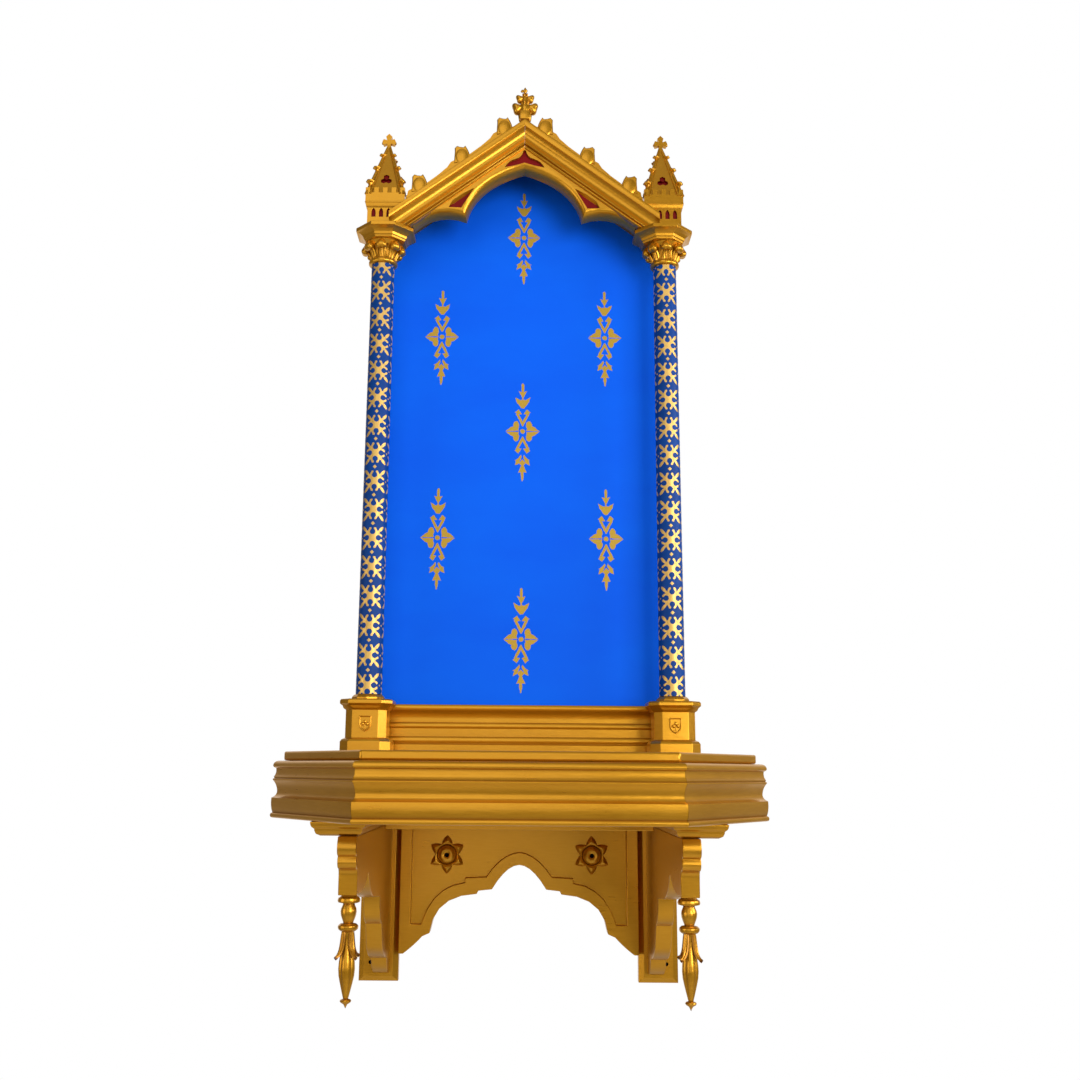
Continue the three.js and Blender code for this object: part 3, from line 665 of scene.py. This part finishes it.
def makeShelfEdging():
    corners = shelfCorners()
    outward = mitres(corners)
    section = edgingSection()
    names = ["side_right", "cant_right", "front", "cant_left", "side_left"]
    for i, name in enumerate(names):
        bm = bmesh.new()
        start, end = Vector(corners[i]), Vector(corners[i + 1])
        ease = (end - start).normalized() * shelfEdging["gap"] / 2
        stations = [(start + ease, outward[i]), (end - ease, outward[i + 1])]
        rings = []
        for corner, out in stations:
            ring = []
            for reach, height in section:
                across, deep = (corner + out * reach) * mm
                ring.append(Vector((across, deep, level(height))))
            rings.append(ring)
        verts = [bm.verts.new(p) for p in rings[0]]
        loop = [bm.edges.new(ends) for ends in zip(verts, verts[1:] + verts[:1])]
        made = bmesh.ops.extrude_edge_only(bm, edges=loop)
        moved = [v for v in made["geom"] if isinstance(v, bmesh.types.BMVert)]
        nearest = {tuple(round(c, 7) for c in p): q for p, q in zip(rings[0], rings[1])}
        for vert in moved:
            vert.co = nearest[tuple(round(c, 7) for c in vert.co)]
        rims = [edge for edge in bm.edges if edge.is_boundary]
        bmesh.ops.holes_fill(bm, edges=rims, sides=0)
        bmesh.ops.recalc_face_normals(bm, faces=bm.faces)
        node = f"shelf_moulding_{name}"
        makePiece(f"shelf.edging.{name}", bm, [gold], "gilding", [node], sharp=38, carved=True)


makeShelfEdging()
print("shelf edged")


# Gable tracery: rounded arch edge and red pockets

archCarving = {
    "round": (8.5, 17),  # across the face and back into the arch
    "steps": 6,
    "deepFace": 15,  # a face under the arch is at least this deep
    "pocketFloor": 4,
    "pocketEdge": ((72, 799.3), (116, 767.3)),  # ends of the upper edge of a side pocket
    "pocketSlope": 3.6,
    "point": (78, 3.2),  # reach each side of the apex, and how far the sides are drawn in to sharpen it
}


def markSoffit(bm, layer, front):  # the faces under the arch
    foot = min(v.co.z for v in bm.verts)
    end = max(v.co.x for v in bm.verts)
    for face in bm.faces:
        deep = max(v.co.y for v in face.verts) - front > archCarving["deepFace"] * mm
        middle = face.calc_center_median()
        inside = middle.z > foot + 0.1 * mm and abs(middle.x) < end - 0.1 * mm
        if deep and inside and abs(face.normal.y) < 0.1 and face.normal.z < 0.3:
            face[layer] = 1


def onSoffit(part, layer):
    return any(face[layer] for face in part.link_faces)


def pointArch(bm, layer):
    reach, drawn = (size * mm for size in archCarving["point"])
    for vert in bm.verts:
        if onSoffit(vert, layer):
            vert.co.z -= drawn * math.sin(math.pi * min(1, abs(vert.co.x) / reach))


def roundArch(bm, front):  # a quarter round where the arch meets the front
    across, back = (reach * mm for reach in archCarving["round"])
    layer = bm.faces.layers.int.new("soffit")
    markSoffit(bm, layer, front)
    pointArch(bm, layer)
    for step in range(1, archCarving["steps"] + 1):
        depth = back * (1 - math.cos(math.pi / 2 * step / archCarving["steps"]))
        skin = [f for f in bm.faces if f[layer]]
        rim = [part for part in bm.edges[:] + bm.verts[:] if onSoffit(part, layer)]
        bmesh.ops.bisect_plane(
            bm, geom=skin + rim, dist=0.001 * mm, plane_co=(0, front + depth, 0), plane_no=(0, 1, 0),
        )
    bm.normal_update()
    moves = []
    for vert in bm.verts:
        walls = [f.normal for f in vert.link_faces if f[layer]]
        left = 1 - (vert.co.y - front) / back
        if walls and left > 0:
            first = walls[0]
            last = min(walls, key=first.dot)
            out = (first + last) / (1 + first.dot(last))
            moves.append((vert, out * across * (1 - math.sqrt(max(0.0, 1 - left ** 2)))))
    for vert, move in moves:
        vert.co -= move


def refaceFront(bm, front):  # the flat front is filled again between the arch, the outline and the pockets
    flats = [f for f in bm.faces if all(abs(v.co.y - front) < 0.01 * mm for v in f.verts)]
    bmesh.ops.delete(bm, geom=flats, context="FACES")
    rims = [e for e in bm.edges if e.is_boundary]
    bmesh.ops.triangle_fill(bm, use_beauty=True, edges=rims, normal=(0, -1, 0))
    bmesh.ops.recalc_face_normals(bm, faces=bm.faces)


def slopePockets(bm, floor):  # the upper wall of a side pocket runs in at a slant
    start, end = (Vector(corner) for corner in archCarving["pocketEdge"])
    along = (end - start).normalized()
    inward = Vector((along.y, -along.x))
    for vert in bm.verts:
        if abs(vert.co.y - floor) < 0.1 * mm:
            off = Vector((abs(vert.co.x) / mm, (vert.co.z - shelfTop) / mm)) - start
            if off.dot(inward) < -0.3 and 0 < off.dot(along) < (end - start).length:
                vert.co.x *= 1 + inward.x * archCarving["pocketSlope"] * mm / abs(vert.co.x)
                vert.co.z += inward.y * archCarving["pocketSlope"] * mm


def buildTracery():
    bm = copyOf("gable_tracery")
    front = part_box("gable_tracery")[0].y
    roundArch(bm, front)
    refaceFront(bm, front)
    floor = front + archCarving["pocketFloor"] * mm
    slopePockets(bm, floor)
    bm.normal_update()
    for face in bm.faces:
        if face.normal.y < -0.9 and abs(face.calc_center_median().y - floor) < 0.2 * mm:
            face.material_index = 1
    return bm


makePiece("gable.tracery", buildTracery(), [gold, red], "gilding", ["gable_tracery"], bevel=0.35)
print("gable traced")


# Crocketed ridges: the cresting with an arched leaf swelling from the front of each crocket

crocketCarving = {
    "places": (30, 90.5, 150.5),
    "swell": (9.8, 2.2, 12.5),
    "drop": 17.2,
    "sunk": 0.8,
    "shift": -0.3,
}


def buildRidge():
    bm = copyOf("crocket_ridge_right")
    low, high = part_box("crocket_ridge_right")
    wide, deep, tall = crocketCarving["swell"]
    size = Matrix.Diagonal((wide, deep, tall, 1))
    first = crocketCarving["places"][0]
    sunk = crocketCarving["sunk"]
    for x in crocketCarving["places"]:
        height = high.z / mm - crocketCarving["drop"] - (x - first) * gableSlope
        for y in (low.y / mm + sunk, high.y / mm - sunk):
            at = spot(x + crocketCarving["shift"], y, height)
            bmesh.ops.create_uvsphere(bm, u_segments=24, v_segments=16, radius=mm, matrix=at @ size)
    return bm


makePair("crocket_ridge", buildRidge, [gold], bevel=0.6)
print("ridges carved")


# Apex finial: two tiers of curled leaves on a block, and a knob with one arm left

finialCarving = {
    "block": (14, 18.8, 13.2),  # width, depth and height
    "front": -10.8,
    "leaves": (  # inset, foot, length and width of a side leaf; reach, height and radius of its curled head
        (7.0, 1.5, 20, 14, 11.0, 21.0, 8.2),
        (3.6, 24, 13, 10, 7.6, 36.6, 6.0),
    ),
    "ribs": ((6.2, 12, 18, 5.4), (4.4, 29, 14, 4.6)),  # inset, foot, length and width
    "ribTurns": (-0.5, 0, 0.5),
    "core": (  # radius and height
        (0, 12), (6.8, 12), (8.4, 18), (8.2, 25), (6.4, 31),
        (6.0, 36), (4.2, 43), (2.6, 45), (2.0, 47), (0, 48),
    ),
    "knob": (3.0, 50.4, 4.6),  # radius, height and half its length
    "arm": (-4.2, 50.0, 2.2),  # where it is across and up, and its radius
}


def placeStem(bm, turn, inset, foot, length, width, reach, height):  # leans out to meet the leaf's head
    lean = math.atan2(reach - inset, height - foot)
    stem = carvedLeaf(length, width, 2.0, lean * 0.5, lean * 1.1, 1.2)
    place(bm, stem, around(turn) @ spot(0, -inset, foot))


def curledLeaf(bm, turn, inset, foot, length, width, reach, height, radius):
    placeStem(bm, turn, inset, foot, length, width, reach, height)
    face = around(turn) @ spot(0, -reach, height) @ Matrix.Rotation(-0.35, 4, "X")
    place(bm, leafBud(radius, 3, 0.9), face @ Matrix.Diagonal((1, 1, 1.12, 1)))


def finialLeaf(bm, sign, inset, foot, length, width, reach, height, radius):  # its head turns to the front
    placeStem(bm, sign * math.pi / 2, inset, foot, length, width, reach, height)
    head = spot(sign * reach, -0.5, height) @ Matrix.Rotation(sign * 0.75, 4, "Y")
    place(bm, leafBud(radius, 3, 0.95), head @ Matrix.Diagonal((0.92, 1, 1.05, 1)))


def buildFinial():
    low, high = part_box("apex_finial")
    bm = bmesh.new()
    wide, deep, tall = finialCarving["block"]
    block = easedBlock(wide, deep, tall, 0.8, 2)
    place(bm, block, spot(0, finialCarving["front"] + deep / 2, tall / 2))
    place(bm, turned(finialCarving["core"], 20))
    for leaf in finialCarving["leaves"]:
        for sign in sides.values():
            finialLeaf(bm, sign, *leaf)
    for inset, foot, length, width in finialCarving["ribs"]:
        for turn in finialCarving["ribTurns"]:
            for half in (0, math.pi):
                rib = carvedLeaf(length, width, 1.7, 0.05, 0.35, 2)
                place(bm, rib, around(turn + half) @ spot(0, -inset, foot))
    radius, height, tall = finialCarving["knob"]
    place(bm, leafBud(1, 4, 1.0), spot(0, 0, height) @ Matrix.Diagonal((radius, radius, tall, 1)))
    across, height, radius = finialCarving["arm"]
    place(bm, leafBud(radius, 3, 0.8), spot(across, 0, height))
    middle = (low + high) / 2
    bmesh.ops.translate(bm, vec=(0, middle.y, low.z), verts=bm.verts)
    return bm


makePiece("apex.finial", buildFinial(), [gold], "gilding", ["apex_finial"], carved=True)
print("finial carved")


# Pinnacles: red lights, rolled arrises, leaf hooks and a lobed cross

pinnacleCarving = {
    "width": 50,
    "lights": (752.5, 767.6, 21),  # foot, head and how far they go each side
    "trefoil": (804, 825, 9),
    "spire": (787, 27, 876, 1.4),  # foot and half width, head and half width
    "roll": 2.8,
    "inset": (5.4, 0.6),  # of a face's own rolls from the arris, at the foot and the head
    "hooks": ((804, 5.2), (830, 4.6), (855, 3.8)),  # height and size
    "hookReach": 1.4,
    "cross": (883, 6.9, 3.7),  # centre, reach and lobe
    "strings": ((775, 57, 2.2), (769, 54, 1.6)),  # height, width and thickness
    "slope": (0, -0.961, 0.276),  # the way a spire's front faces
    "widen": 1.18,
}


def paintLights(bm, axis):
    slope = Vector(pinnacleCarving["slope"])
    for face in bm.faces:
        middle = (face.calc_center_median() - axis) / mm
        height = (face.calc_center_median().z - shelfTop) / mm
        foot, head, reach = pinnacleCarving["lights"]
        depth = middle.y + pinnacleCarving["width"] / 2
        inLight = foot < height < head and abs(middle.x) < reach and 0.3 < depth < 3.3
        foot, head, reach = pinnacleCarving["trefoil"]
        inTrefoil = foot < height < head and abs(middle.x) < reach and middle.y < 0
        if inLight or (inTrefoil and (face.normal - slope).length > 0.15):
            face.material_index = 1


def widenTrefoil(bm):
    slope = Vector(pinnacleCarving["slope"])
    foot = level(pinnacleCarving["trefoil"][0])
    painted = [f for f in bm.faces if f.material_index == 1 and f.calc_center_median().z > foot]
    hole = [v for v in bm.verts if any(f in painted for f in v.link_faces)]
    front = max(v.co.dot(slope) for v in hole)
    edge = [v.co for v in hole if v.co.dot(slope) > front - 0.2 * mm]
    middle = sum(edge, Vector()) / len(edge)
    widen = pinnacleCarving["widen"]
    bmesh.ops.scale(bm, vec=(widen, widen, widen), space=Matrix.Translation(-middle), verts=hole)


def buildPinnacle():
    bm = copyOf("pinnacle_right")
    low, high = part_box("pinnacle_right")
    axis = (low + high) / 2
    paintLights(bm, axis)
    widenTrefoil(bm)
    extra = bmesh.new()
    foot, footHalf, head, headHalf = pinnacleCarving["spire"]
    roll = pinnacleCarving["roll"]
    footIn, headIn = footHalf - pinnacleCarving["inset"][0], headHalf - pinnacleCarving["inset"][1]
    rolls = (  # where a roll is across a face at the foot and the head, and its radius
        (footHalf, headHalf, roll),
        (footIn, headIn, roll * 0.8),
        (-footIn, -headIn, roll * 0.8),
    )
    for quarter in range(4):
        turn = around(quarter * math.pi / 2)
        for atFoot, atHead, radius in rolls:
            start, end = Vector((atFoot, -footHalf, foot)), Vector((atHead, -headHalf, head))
            along = end - start
            lie = along.to_track_quat("Z", "Y").to_matrix().to_4x4()
            bmesh.ops.create_cone(
                extra, cap_ends=True, segments=10, radius1=radius * mm, radius2=radius * 0.6 * mm,
                depth=along.length * mm, matrix=turn @ spot(*((start + end) / 2)) @ lie,
            )
        for height, size in pinnacleCarving["hooks"]:
            reach = footHalf + (headHalf - footHalf) * (height - foot) / (head - foot)
            reach += pinnacleCarving["hookReach"]
            tip = turn @ spot(reach, -reach, height + size * 0.75) @ around(math.pi / 4)
            place(extra, leafBud(1, 4, 1.0), tip @ Matrix.Diagonal((size * 0.9, size * 0.95, size * 0.62, 1)))
    centre, reach, lobe = pinnacleCarving["cross"]
    for across, up, size in ((-reach, 0, lobe), (reach, 0, lobe), (0, reach * 1.2, lobe), (0, 0, lobe * 0.9)):
        place(extra, leafBud(size, 3, 0.95), spot(across, 0, centre + up))
    for height, wide, thick in pinnacleCarving["strings"]:
        place(extra, easedBlock(wide, wide, thick, 0.7, 3), spot(0, 0, height))
    place(bm, extra, Matrix.Translation((axis.x, axis.y, shelfTop)))
    return bm


makePair("pinnacle", buildPinnacle, [gold, red], bevel=0.45)
print("pinnacles carved")


# Columns and capitals

columnTurning = {"sides": 72, "taper": 16.2 / 17.3}


def buildColumn():
    low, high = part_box("column_right")
    bm = bmesh.new()
    tall = high.z - low.z
    radius = (high.x - low.x) / 2
    bmesh.ops.create_cone(
        bm, cap_ends=True, segments=columnTurning["sides"], radius1=radius,
        radius2=radius * columnTurning["taper"], depth=tall,
        matrix=Matrix.Translation((columnAxis.x, columnAxis.y, low.z + tall / 2)),
    )
    return bm


makePair("column", buildColumn, [columnBlue], "column_paint", sharp=60)

capitalCarving = {
    "leaves": 8,
    "stem": (16.6, 8, 19, 11),  # inset, foot, length and width of a leaf
    "bud": (25.6, 23.8, 7.0),  # reach, height and radius of its curled head
    "rib": (20, 5.5, 1.6, 0.1, 0.7, 1.8),  # length, width, thickness, lean, curl and how late it curls
    "neck": 17.3,
    "collar": 20.6,
    "waist": 17.6,
    "rim": 25.5,
}


def buildCapital():
    low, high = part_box("capital_right")
    tall = (high.z - low.z) / mm
    neck, collar, waist, rim = (capitalCarving[part] for part in ("neck", "collar", "waist", "rim"))
    profile = [(0, 0), (neck, 0)]
    profile += bowed((neck, 0), (collar, 0.2), (collar, 3.4), 5)
    profile += bowed((collar, 3.4), (collar, 7), (waist, 7.2), 6)
    profile += bowed((waist, 7.2), (15.8, 20), (rim, tall - 1.5), 8)
    profile += [(rim, tall), (0, tall)]
    bm = turned(profile, 48)
    inset, foot, length, width = capitalCarving["stem"]
    for i in range(capitalCarving["leaves"]):
        turn = i * 2 * math.pi / capitalCarving["leaves"]
        curledLeaf(bm, turn, inset, foot, length, width, *capitalCarving["bud"])
        rib = carvedLeaf(*capitalCarving["rib"])
        place(bm, rib, around(turn + math.pi / capitalCarving["leaves"]) @ spot(0, -inset, foot))
    bmesh.ops.translate(bm, vec=(columnAxis.x, columnAxis.y, low.z), verts=bm.verts)
    return bm


makePair("capital", buildCapital, [gold], carved=True)
print("columns crowned")


# Pedestals: the shield gets a sunk field and a plain trefoil

shieldCarving = {
    "die": 27,  # from the column's axis to the front of the die
    "proud": 3,
    "middle": 38,
    "narrow": 0.84,
    "rim": 1.4,
    "sink": 1.5,
    "charge": 1.3,  # how far the trefoil's middle lies behind the rim
    "lobes": ((-2.9, 0.6), (2.9, 0.6), (0, 3.6)),
    "lobe": (2.3, 1.7, 2.3),
    "stem": (1.7, 2.2, 6.4, -2.6),  # width, depth, height and where its middle is
}


def narrowShield(bm, front):
    die = columnAxis.y - shieldCarving["die"] * mm
    edge = [v.co.copy() for v in bm.verts if abs(v.co.y - front) < 0.1 * mm]
    shield = [
        v for v in bm.verts
        if v.co.y < die + 0.1 * mm and any(abs(v.co.x - e.x) + abs(v.co.z - e.z) < 0.3 * mm for e in edge)
    ]
    centre = Matrix.Translation((-columnAxis.x, 0, 0))
    bmesh.ops.scale(bm, vec=(shieldCarving["narrow"], 1, 1), space=centre, verts=shield)


def shieldFaces(bm, front):
    flats = [f for f in bm.faces if f.normal.y < -0.99]
    return [f for f in flats if abs(f.calc_center_median().y - front) < 0.1 * mm]


def buildPedestal():
    bm = copyOf("pedestal_right")
    front = columnAxis.y - (shieldCarving["die"] + shieldCarving["proud"]) * mm
    narrowShield(bm, front)
    bmesh.ops.dissolve_faces(bm, faces=shieldFaces(bm, front))
    shields = shieldFaces(bm, front)
    bmesh.ops.inset_region(bm, faces=shields, thickness=shieldCarving["rim"] * mm, depth=0)
    bmesh.ops.inset_region(bm, faces=shields, thickness=0.3 * mm, depth=-shieldCarving["sink"] * mm)
    charge = bmesh.new()
    size = Matrix.Diagonal((*shieldCarving["lobe"], 1))
    for across, up in shieldCarving["lobes"]:
        bmesh.ops.create_icosphere(charge, subdivisions=3, radius=mm, matrix=spot(across, 0, up) @ size)
    wide, deep, tall, up = shieldCarving["stem"]
    size = Matrix.Diagonal((wide * mm, deep * mm, tall * mm, 1))
    bmesh.ops.create_cube(charge, size=1, matrix=spot(0, 0, up) @ size)
    depth = front + shieldCarving["charge"] * mm
    place(bm, charge, Matrix.Translation((columnAxis.x, depth, level(shieldCarving["middle"]))))
    return bm


makePair("pedestal", buildPedestal, [gold], bevel=0.6)
print("pedestals carved")


# Apron, wall plates and the painted shade at the end of their screw holes

holeCarving = {
    "radius": 2.7,
    "depth": 2.0,
    "plate": (195, -268, -9),  # across, height and depth
    "apron": (96.6, -130, -14),
}


def darkHole(bm, x, height, back):  # a near black plug, painted shade at the end of a screw hole
    plug = bmesh.new()
    radius = holeCarving["radius"] * mm
    bmesh.ops.create_cone(
        plug, cap_ends=True, segments=24, radius1=radius, radius2=radius,
        depth=holeCarving["depth"] * mm, matrix=Matrix.Rotation(math.pi / 2, 4, "X"),
    )
    for face in plug.faces:
        face.material_index = 1
    place(bm, plug, Matrix.Translation((x * mm, back * mm, level(height))))


def buildPlate():
    bm = copyOf("wall_plate_right")
    darkHole(bm, *holeCarving["plate"])
    return bm


def buildApron():
    bm = copyOf("apron")
    across, height, back = holeCarving["apron"]
    for sign in sides.values():
        darkHole(bm, sign * across, height, back)
    return bm


makePair("wall_plate", buildPlate, [gold, holeShade], bevel=0.8)
makePiece("apron.board", buildApron(), [gold, holeShade], "gilding", ["apron"], bevel=0.8)


# Rosettes: six pointed petals with a ridge along each, round a pierced boss

rosetteCarving = {
    "petals": 6,
    "radius": 25,
    "boss": 11,
    "rise": 11,
    "waist": 0.40,
    "ridge": 0.45,
    "hole": 2.9,
    "holeFloor": 1.5,
}


def buildRosette():
    low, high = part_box("rosette_right")
    radius, boss, rise = rosetteCarving["radius"], rosetteCarving["boss"], rosetteCarving["rise"]
    hole, floor = rosetteCarving["hole"], rosetteCarving["holeFloor"]
    profile = [(0, 0), (radius, 0), (radius, 1.6)]
    profile += bowed((radius, 1.6), (21, 6.6), (17, 6.8), 6)
    profile += bowed((17, 6.8), (13.6, 6.0), (12.4, 3.8), 5)
    profile += bowed((12.4, 3.8), (boss, 8.6), (7, rise), 6)
    profile += bowed((7, rise), (hole + 1, rise + 0.2), (hole, rise - 1.2), 4)
    profile += [(hole, floor), (0, floor)]
    bm = turned(profile, 96)
    petals = rosetteCarving["petals"]
    for vert in bm.verts:
        reach = math.hypot(vert.co.x, vert.co.y) / mm
        turn = (math.atan2(vert.co.y, vert.co.x) / (2 * math.pi) * petals + petals + 0.5) % 1
        tip = 1 - 2 * abs(turn - 0.5)
        out = max(0.0, min(1.0, (reach - boss) / (radius - boss)))
        out = out * out * (3 - 2 * out)
        shrink = 1 - rosetteCarving["waist"] * (1 - tip) * out
        ridge = 1 - rosetteCarving["ridge"] * (1 - tip) * out
        vert.co = Vector((vert.co.x * shrink, vert.co.y * shrink, vert.co.z * ridge))
    bm.normal_update()
    # the hole in the boss takes the near black paint: painted shade
    for face in bm.faces:
        middle = face.calc_center_median()
        if math.hypot(middle.x, middle.y) < (hole + 0.2) * mm and middle.z > 0.5 * mm:
            face.material_index = 1
    stand = Matrix.Rotation(math.pi / 2, 4, "X") @ Matrix.Rotation(math.pi / 6, 4, "Z")
    bmesh.ops.transform(bm, matrix=stand, verts=bm.verts)
    middle = (low + high) / 2
    bmesh.ops.translate(bm, vec=(middle.x, high.y, middle.z), verts=bm.verts)
    return bm


makePair("rosette", buildRosette, [gold, holeShade], carved=True)
print("apron dressed")


# Pendants: turned neck, ribbed drop and four leaves that flick out

pendantCarving = {
    "neck": (  # radius and depth below the bracket
        (0, 0), (8, 0), (8.6, 1.6), (11.4, 3.4), (12.1, 5.6), (11.6, 7.6), (8, 8.6), (6, 9), (6.6, 11),
        (8.0, 14), (8.5, 17), (8.1, 20.5), (7, 24), (5.6, 27.5), (5.2, 29), (8.6, 29.6), (10.6, 31.4),
        (10.9, 33), (10.3, 35), (8.4, 36.6), (6.4, 37.4),
    ),
    "drop": (
        (5.6, 44), (5.8, 52), (7.2, 60), (8.4, 68), (8.8, 75), (8.2, 82), (6.4, 90), (4.4, 98), (3.1, 103),
        (2.7, 104.6), (5.4, 105.6), (6.1, 106.8), (5.2, 108.2), (2.2, 110), (1.1, 112), (0, 114.4),
    ),
    "ribs": (44, 104, 0.20),  # start, end and how deep the hollows between them are
    "leaf": (31, 9.5, 1.9, 0.10, 1.35, 4),  # length, width, thickness, lean, curl and how late it curls
    "leafFoot": (-5.6, -35.5),
}


def buildPendant():
    low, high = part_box("pendant_right")
    profile = [(radius, -depth) for radius, depth in pendantCarving["neck"] + pendantCarving["drop"]]
    bm = turned(profile, 64)
    tall = [e for e in bm.edges if abs(e.verts[0].co.z - e.verts[1].co.z) > 5 * mm]
    bmesh.ops.subdivide_edges(bm, edges=tall, cuts=2)
    start, end, deep = pendantCarving["ribs"]
    for vert in bm.verts:
        depth = -vert.co.z / mm
        if start < depth < end:
            swell = math.sin(math.pi * (depth - start) / (end - start)) ** 0.5
            rib = abs(math.cos(2 * math.atan2(vert.co.y, vert.co.x)))
            push = 1 - deep * swell * (1 - rib) ** 1.5
            vert.co.x *= push
            vert.co.y *= push
    for quarter in range(4):
        leaf = carvedLeaf(*pendantCarving["leaf"])
        bmesh.ops.transform(leaf, matrix=Matrix.Scale(-1, 4, (0, 0, 1)), verts=leaf.verts)
        bmesh.ops.reverse_faces(leaf, faces=leaf.faces)
        place(bm, leaf, around(math.pi / 4 + quarter * math.pi / 2) @ spot(0, *pendantCarving["leafFoot"]))
    middle = (low + high) / 2
    bmesh.ops.translate(bm, vec=(middle.x, middle.y, high.z), verts=bm.verts)
    return bm


makePair("pendant", buildPendant, [gold], carved=True)
print("pendants hung")


# Floor, light and camera

eye = {
    "distance": 1.6,
    "height": -19,
    "pitch": 11.4,
    "roll": 0.44,
    "focal": 1142 / 1080,  # in widths of the picture, as the shift is
    "shift": 18.25 / 1080,
}
studio = {
    "floor": 7,
    "drop": 1.6,  # from the eye to the floor
    "pale": ((0.80, 0.79, 0.77, 1), (0.84, 0.83, 0.81, 1)),
    "behind": 1.0,  # brightness of the room behind the shrine and before it
    "before": 0.18,
    "edge": (6, 3.3),  # how sharply one gives way to the other, and where
    "room": (1, 0.90, 0.68, 1),
    "aim": (0, -0.1, -0.05),  # where the lamps point
}


def makeFloor():
    bm = bmesh.new()
    bmesh.ops.create_grid(bm, x_segments=1, y_segments=1, size=studio["floor"] / 2)
    bmesh.ops.translate(bm, vec=(0, -1, level(eye["height"]) - studio["drop"]), verts=bm.verts)
    mesh = bpy.data.meshes.new("floor")
    bm.to_mesh(mesh)
    bm.free()
    floor = bpy.data.objects.new("floor", mesh)
    bpy.context.collection.objects.link(floor)
    paint, bench = newPaint("paleFloor")
    cloud = bench.grain(2, 3)
    bench.finish({
        "Base Color": bench.blend(cloud, *studio["pale"]),
        "Roughness": 0.8,
    })
    mesh.materials.append(paint)


def makeSky():
    world = bpy.data.worlds.new("studioSky")
    world.use_nodes = True
    bpy.context.scene.world = world
    bench = Bench(world.node_tree)
    toward = bench.node("ShaderNodeTexCoord", output="Generated")
    split = bench.node("ShaderNodeSeparateXYZ", sockets={0: toward}).socket.node
    sharp, start = studio["edge"]
    ahead = (Wire(bench, split.outputs[1]) * sharp - start).clamped()
    tone = ahead * (studio["behind"] - studio["before"]) + studio["before"]
    tint = bench.blend(ahead, studio["room"], (1, 1, 1, 1))
    light = bench.node("ShaderNodeBackground", sockets={"Color": tint, "Strength": tone})
    bench.node("ShaderNodeOutputWorld", sockets={"Surface": light})


lamps = {
    "window": {"at": (1.35, -2.4, 0.12), "size": 1.4, "power": 44, "tint": (1, 0.98, 0.94)},
    "sideGlow": {"at": (2.2, -0.75, 0.35), "size": 1.3, "power": 33, "tint": (1, 0.97, 0.92)},
    "roomFill": {"at": (-2.2, -1.4, -0.3), "size": 1.4, "power": 14, "tint": (1, 0.90, 0.74)},
    "skyGlow": {"at": (-0.1, -1.1, 2.3), "size": 1.4, "power": 2.4, "tint": (1, 0.95, 0.88)},
    "frontFill": {"at": (-0.55, -2.8, -0.1), "size": 1.6, "power": 9.5, "tint": (1, 0.95, 0.88)},
    "ceilingGlow": {"at": (-0.45, -2.2, 1.3), "size": 1.4, "power": 9, "tint": (1, 0.98, 0.95)},
}


def makeLamps():
    aim = Vector(studio["aim"])
    for name, lamp in lamps.items():
        data = bpy.data.lights.new(name, "AREA")
        data.size = lamp["size"]
        data.energy = lamp["power"]
        data.color = lamp["tint"]
        light = bpy.data.objects.new(name, data)
        light.location = lamp["at"]
        light.rotation_euler = (aim - light.location).to_track_quat("-Z", "Y").to_euler()
        bpy.context.collection.objects.link(light)


def makeCamera():
    data = bpy.data.cameras.new("eye")
    data.sensor_width = 36
    data.lens = eye["focal"] * data.sensor_width
    data.shift_x = eye["shift"]
    camera = bpy.data.objects.new("eye", data)
    camera.location = (0, -eye["distance"], level(eye["height"]))
    pitch = Matrix.Rotation(math.radians(90 + eye["pitch"]), 4, "X")
    roll = Matrix.Rotation(math.radians(eye["roll"]), 4, "Z")
    camera.rotation_euler = (pitch @ roll).to_euler()
    bpy.context.collection.objects.link(camera)
    bpy.context.scene.camera = camera


makeFloor()
makeSky()
makeLamps()
makeCamera()
bpy.context.scene.view_settings.view_transform = "Standard"
print("studio lit")
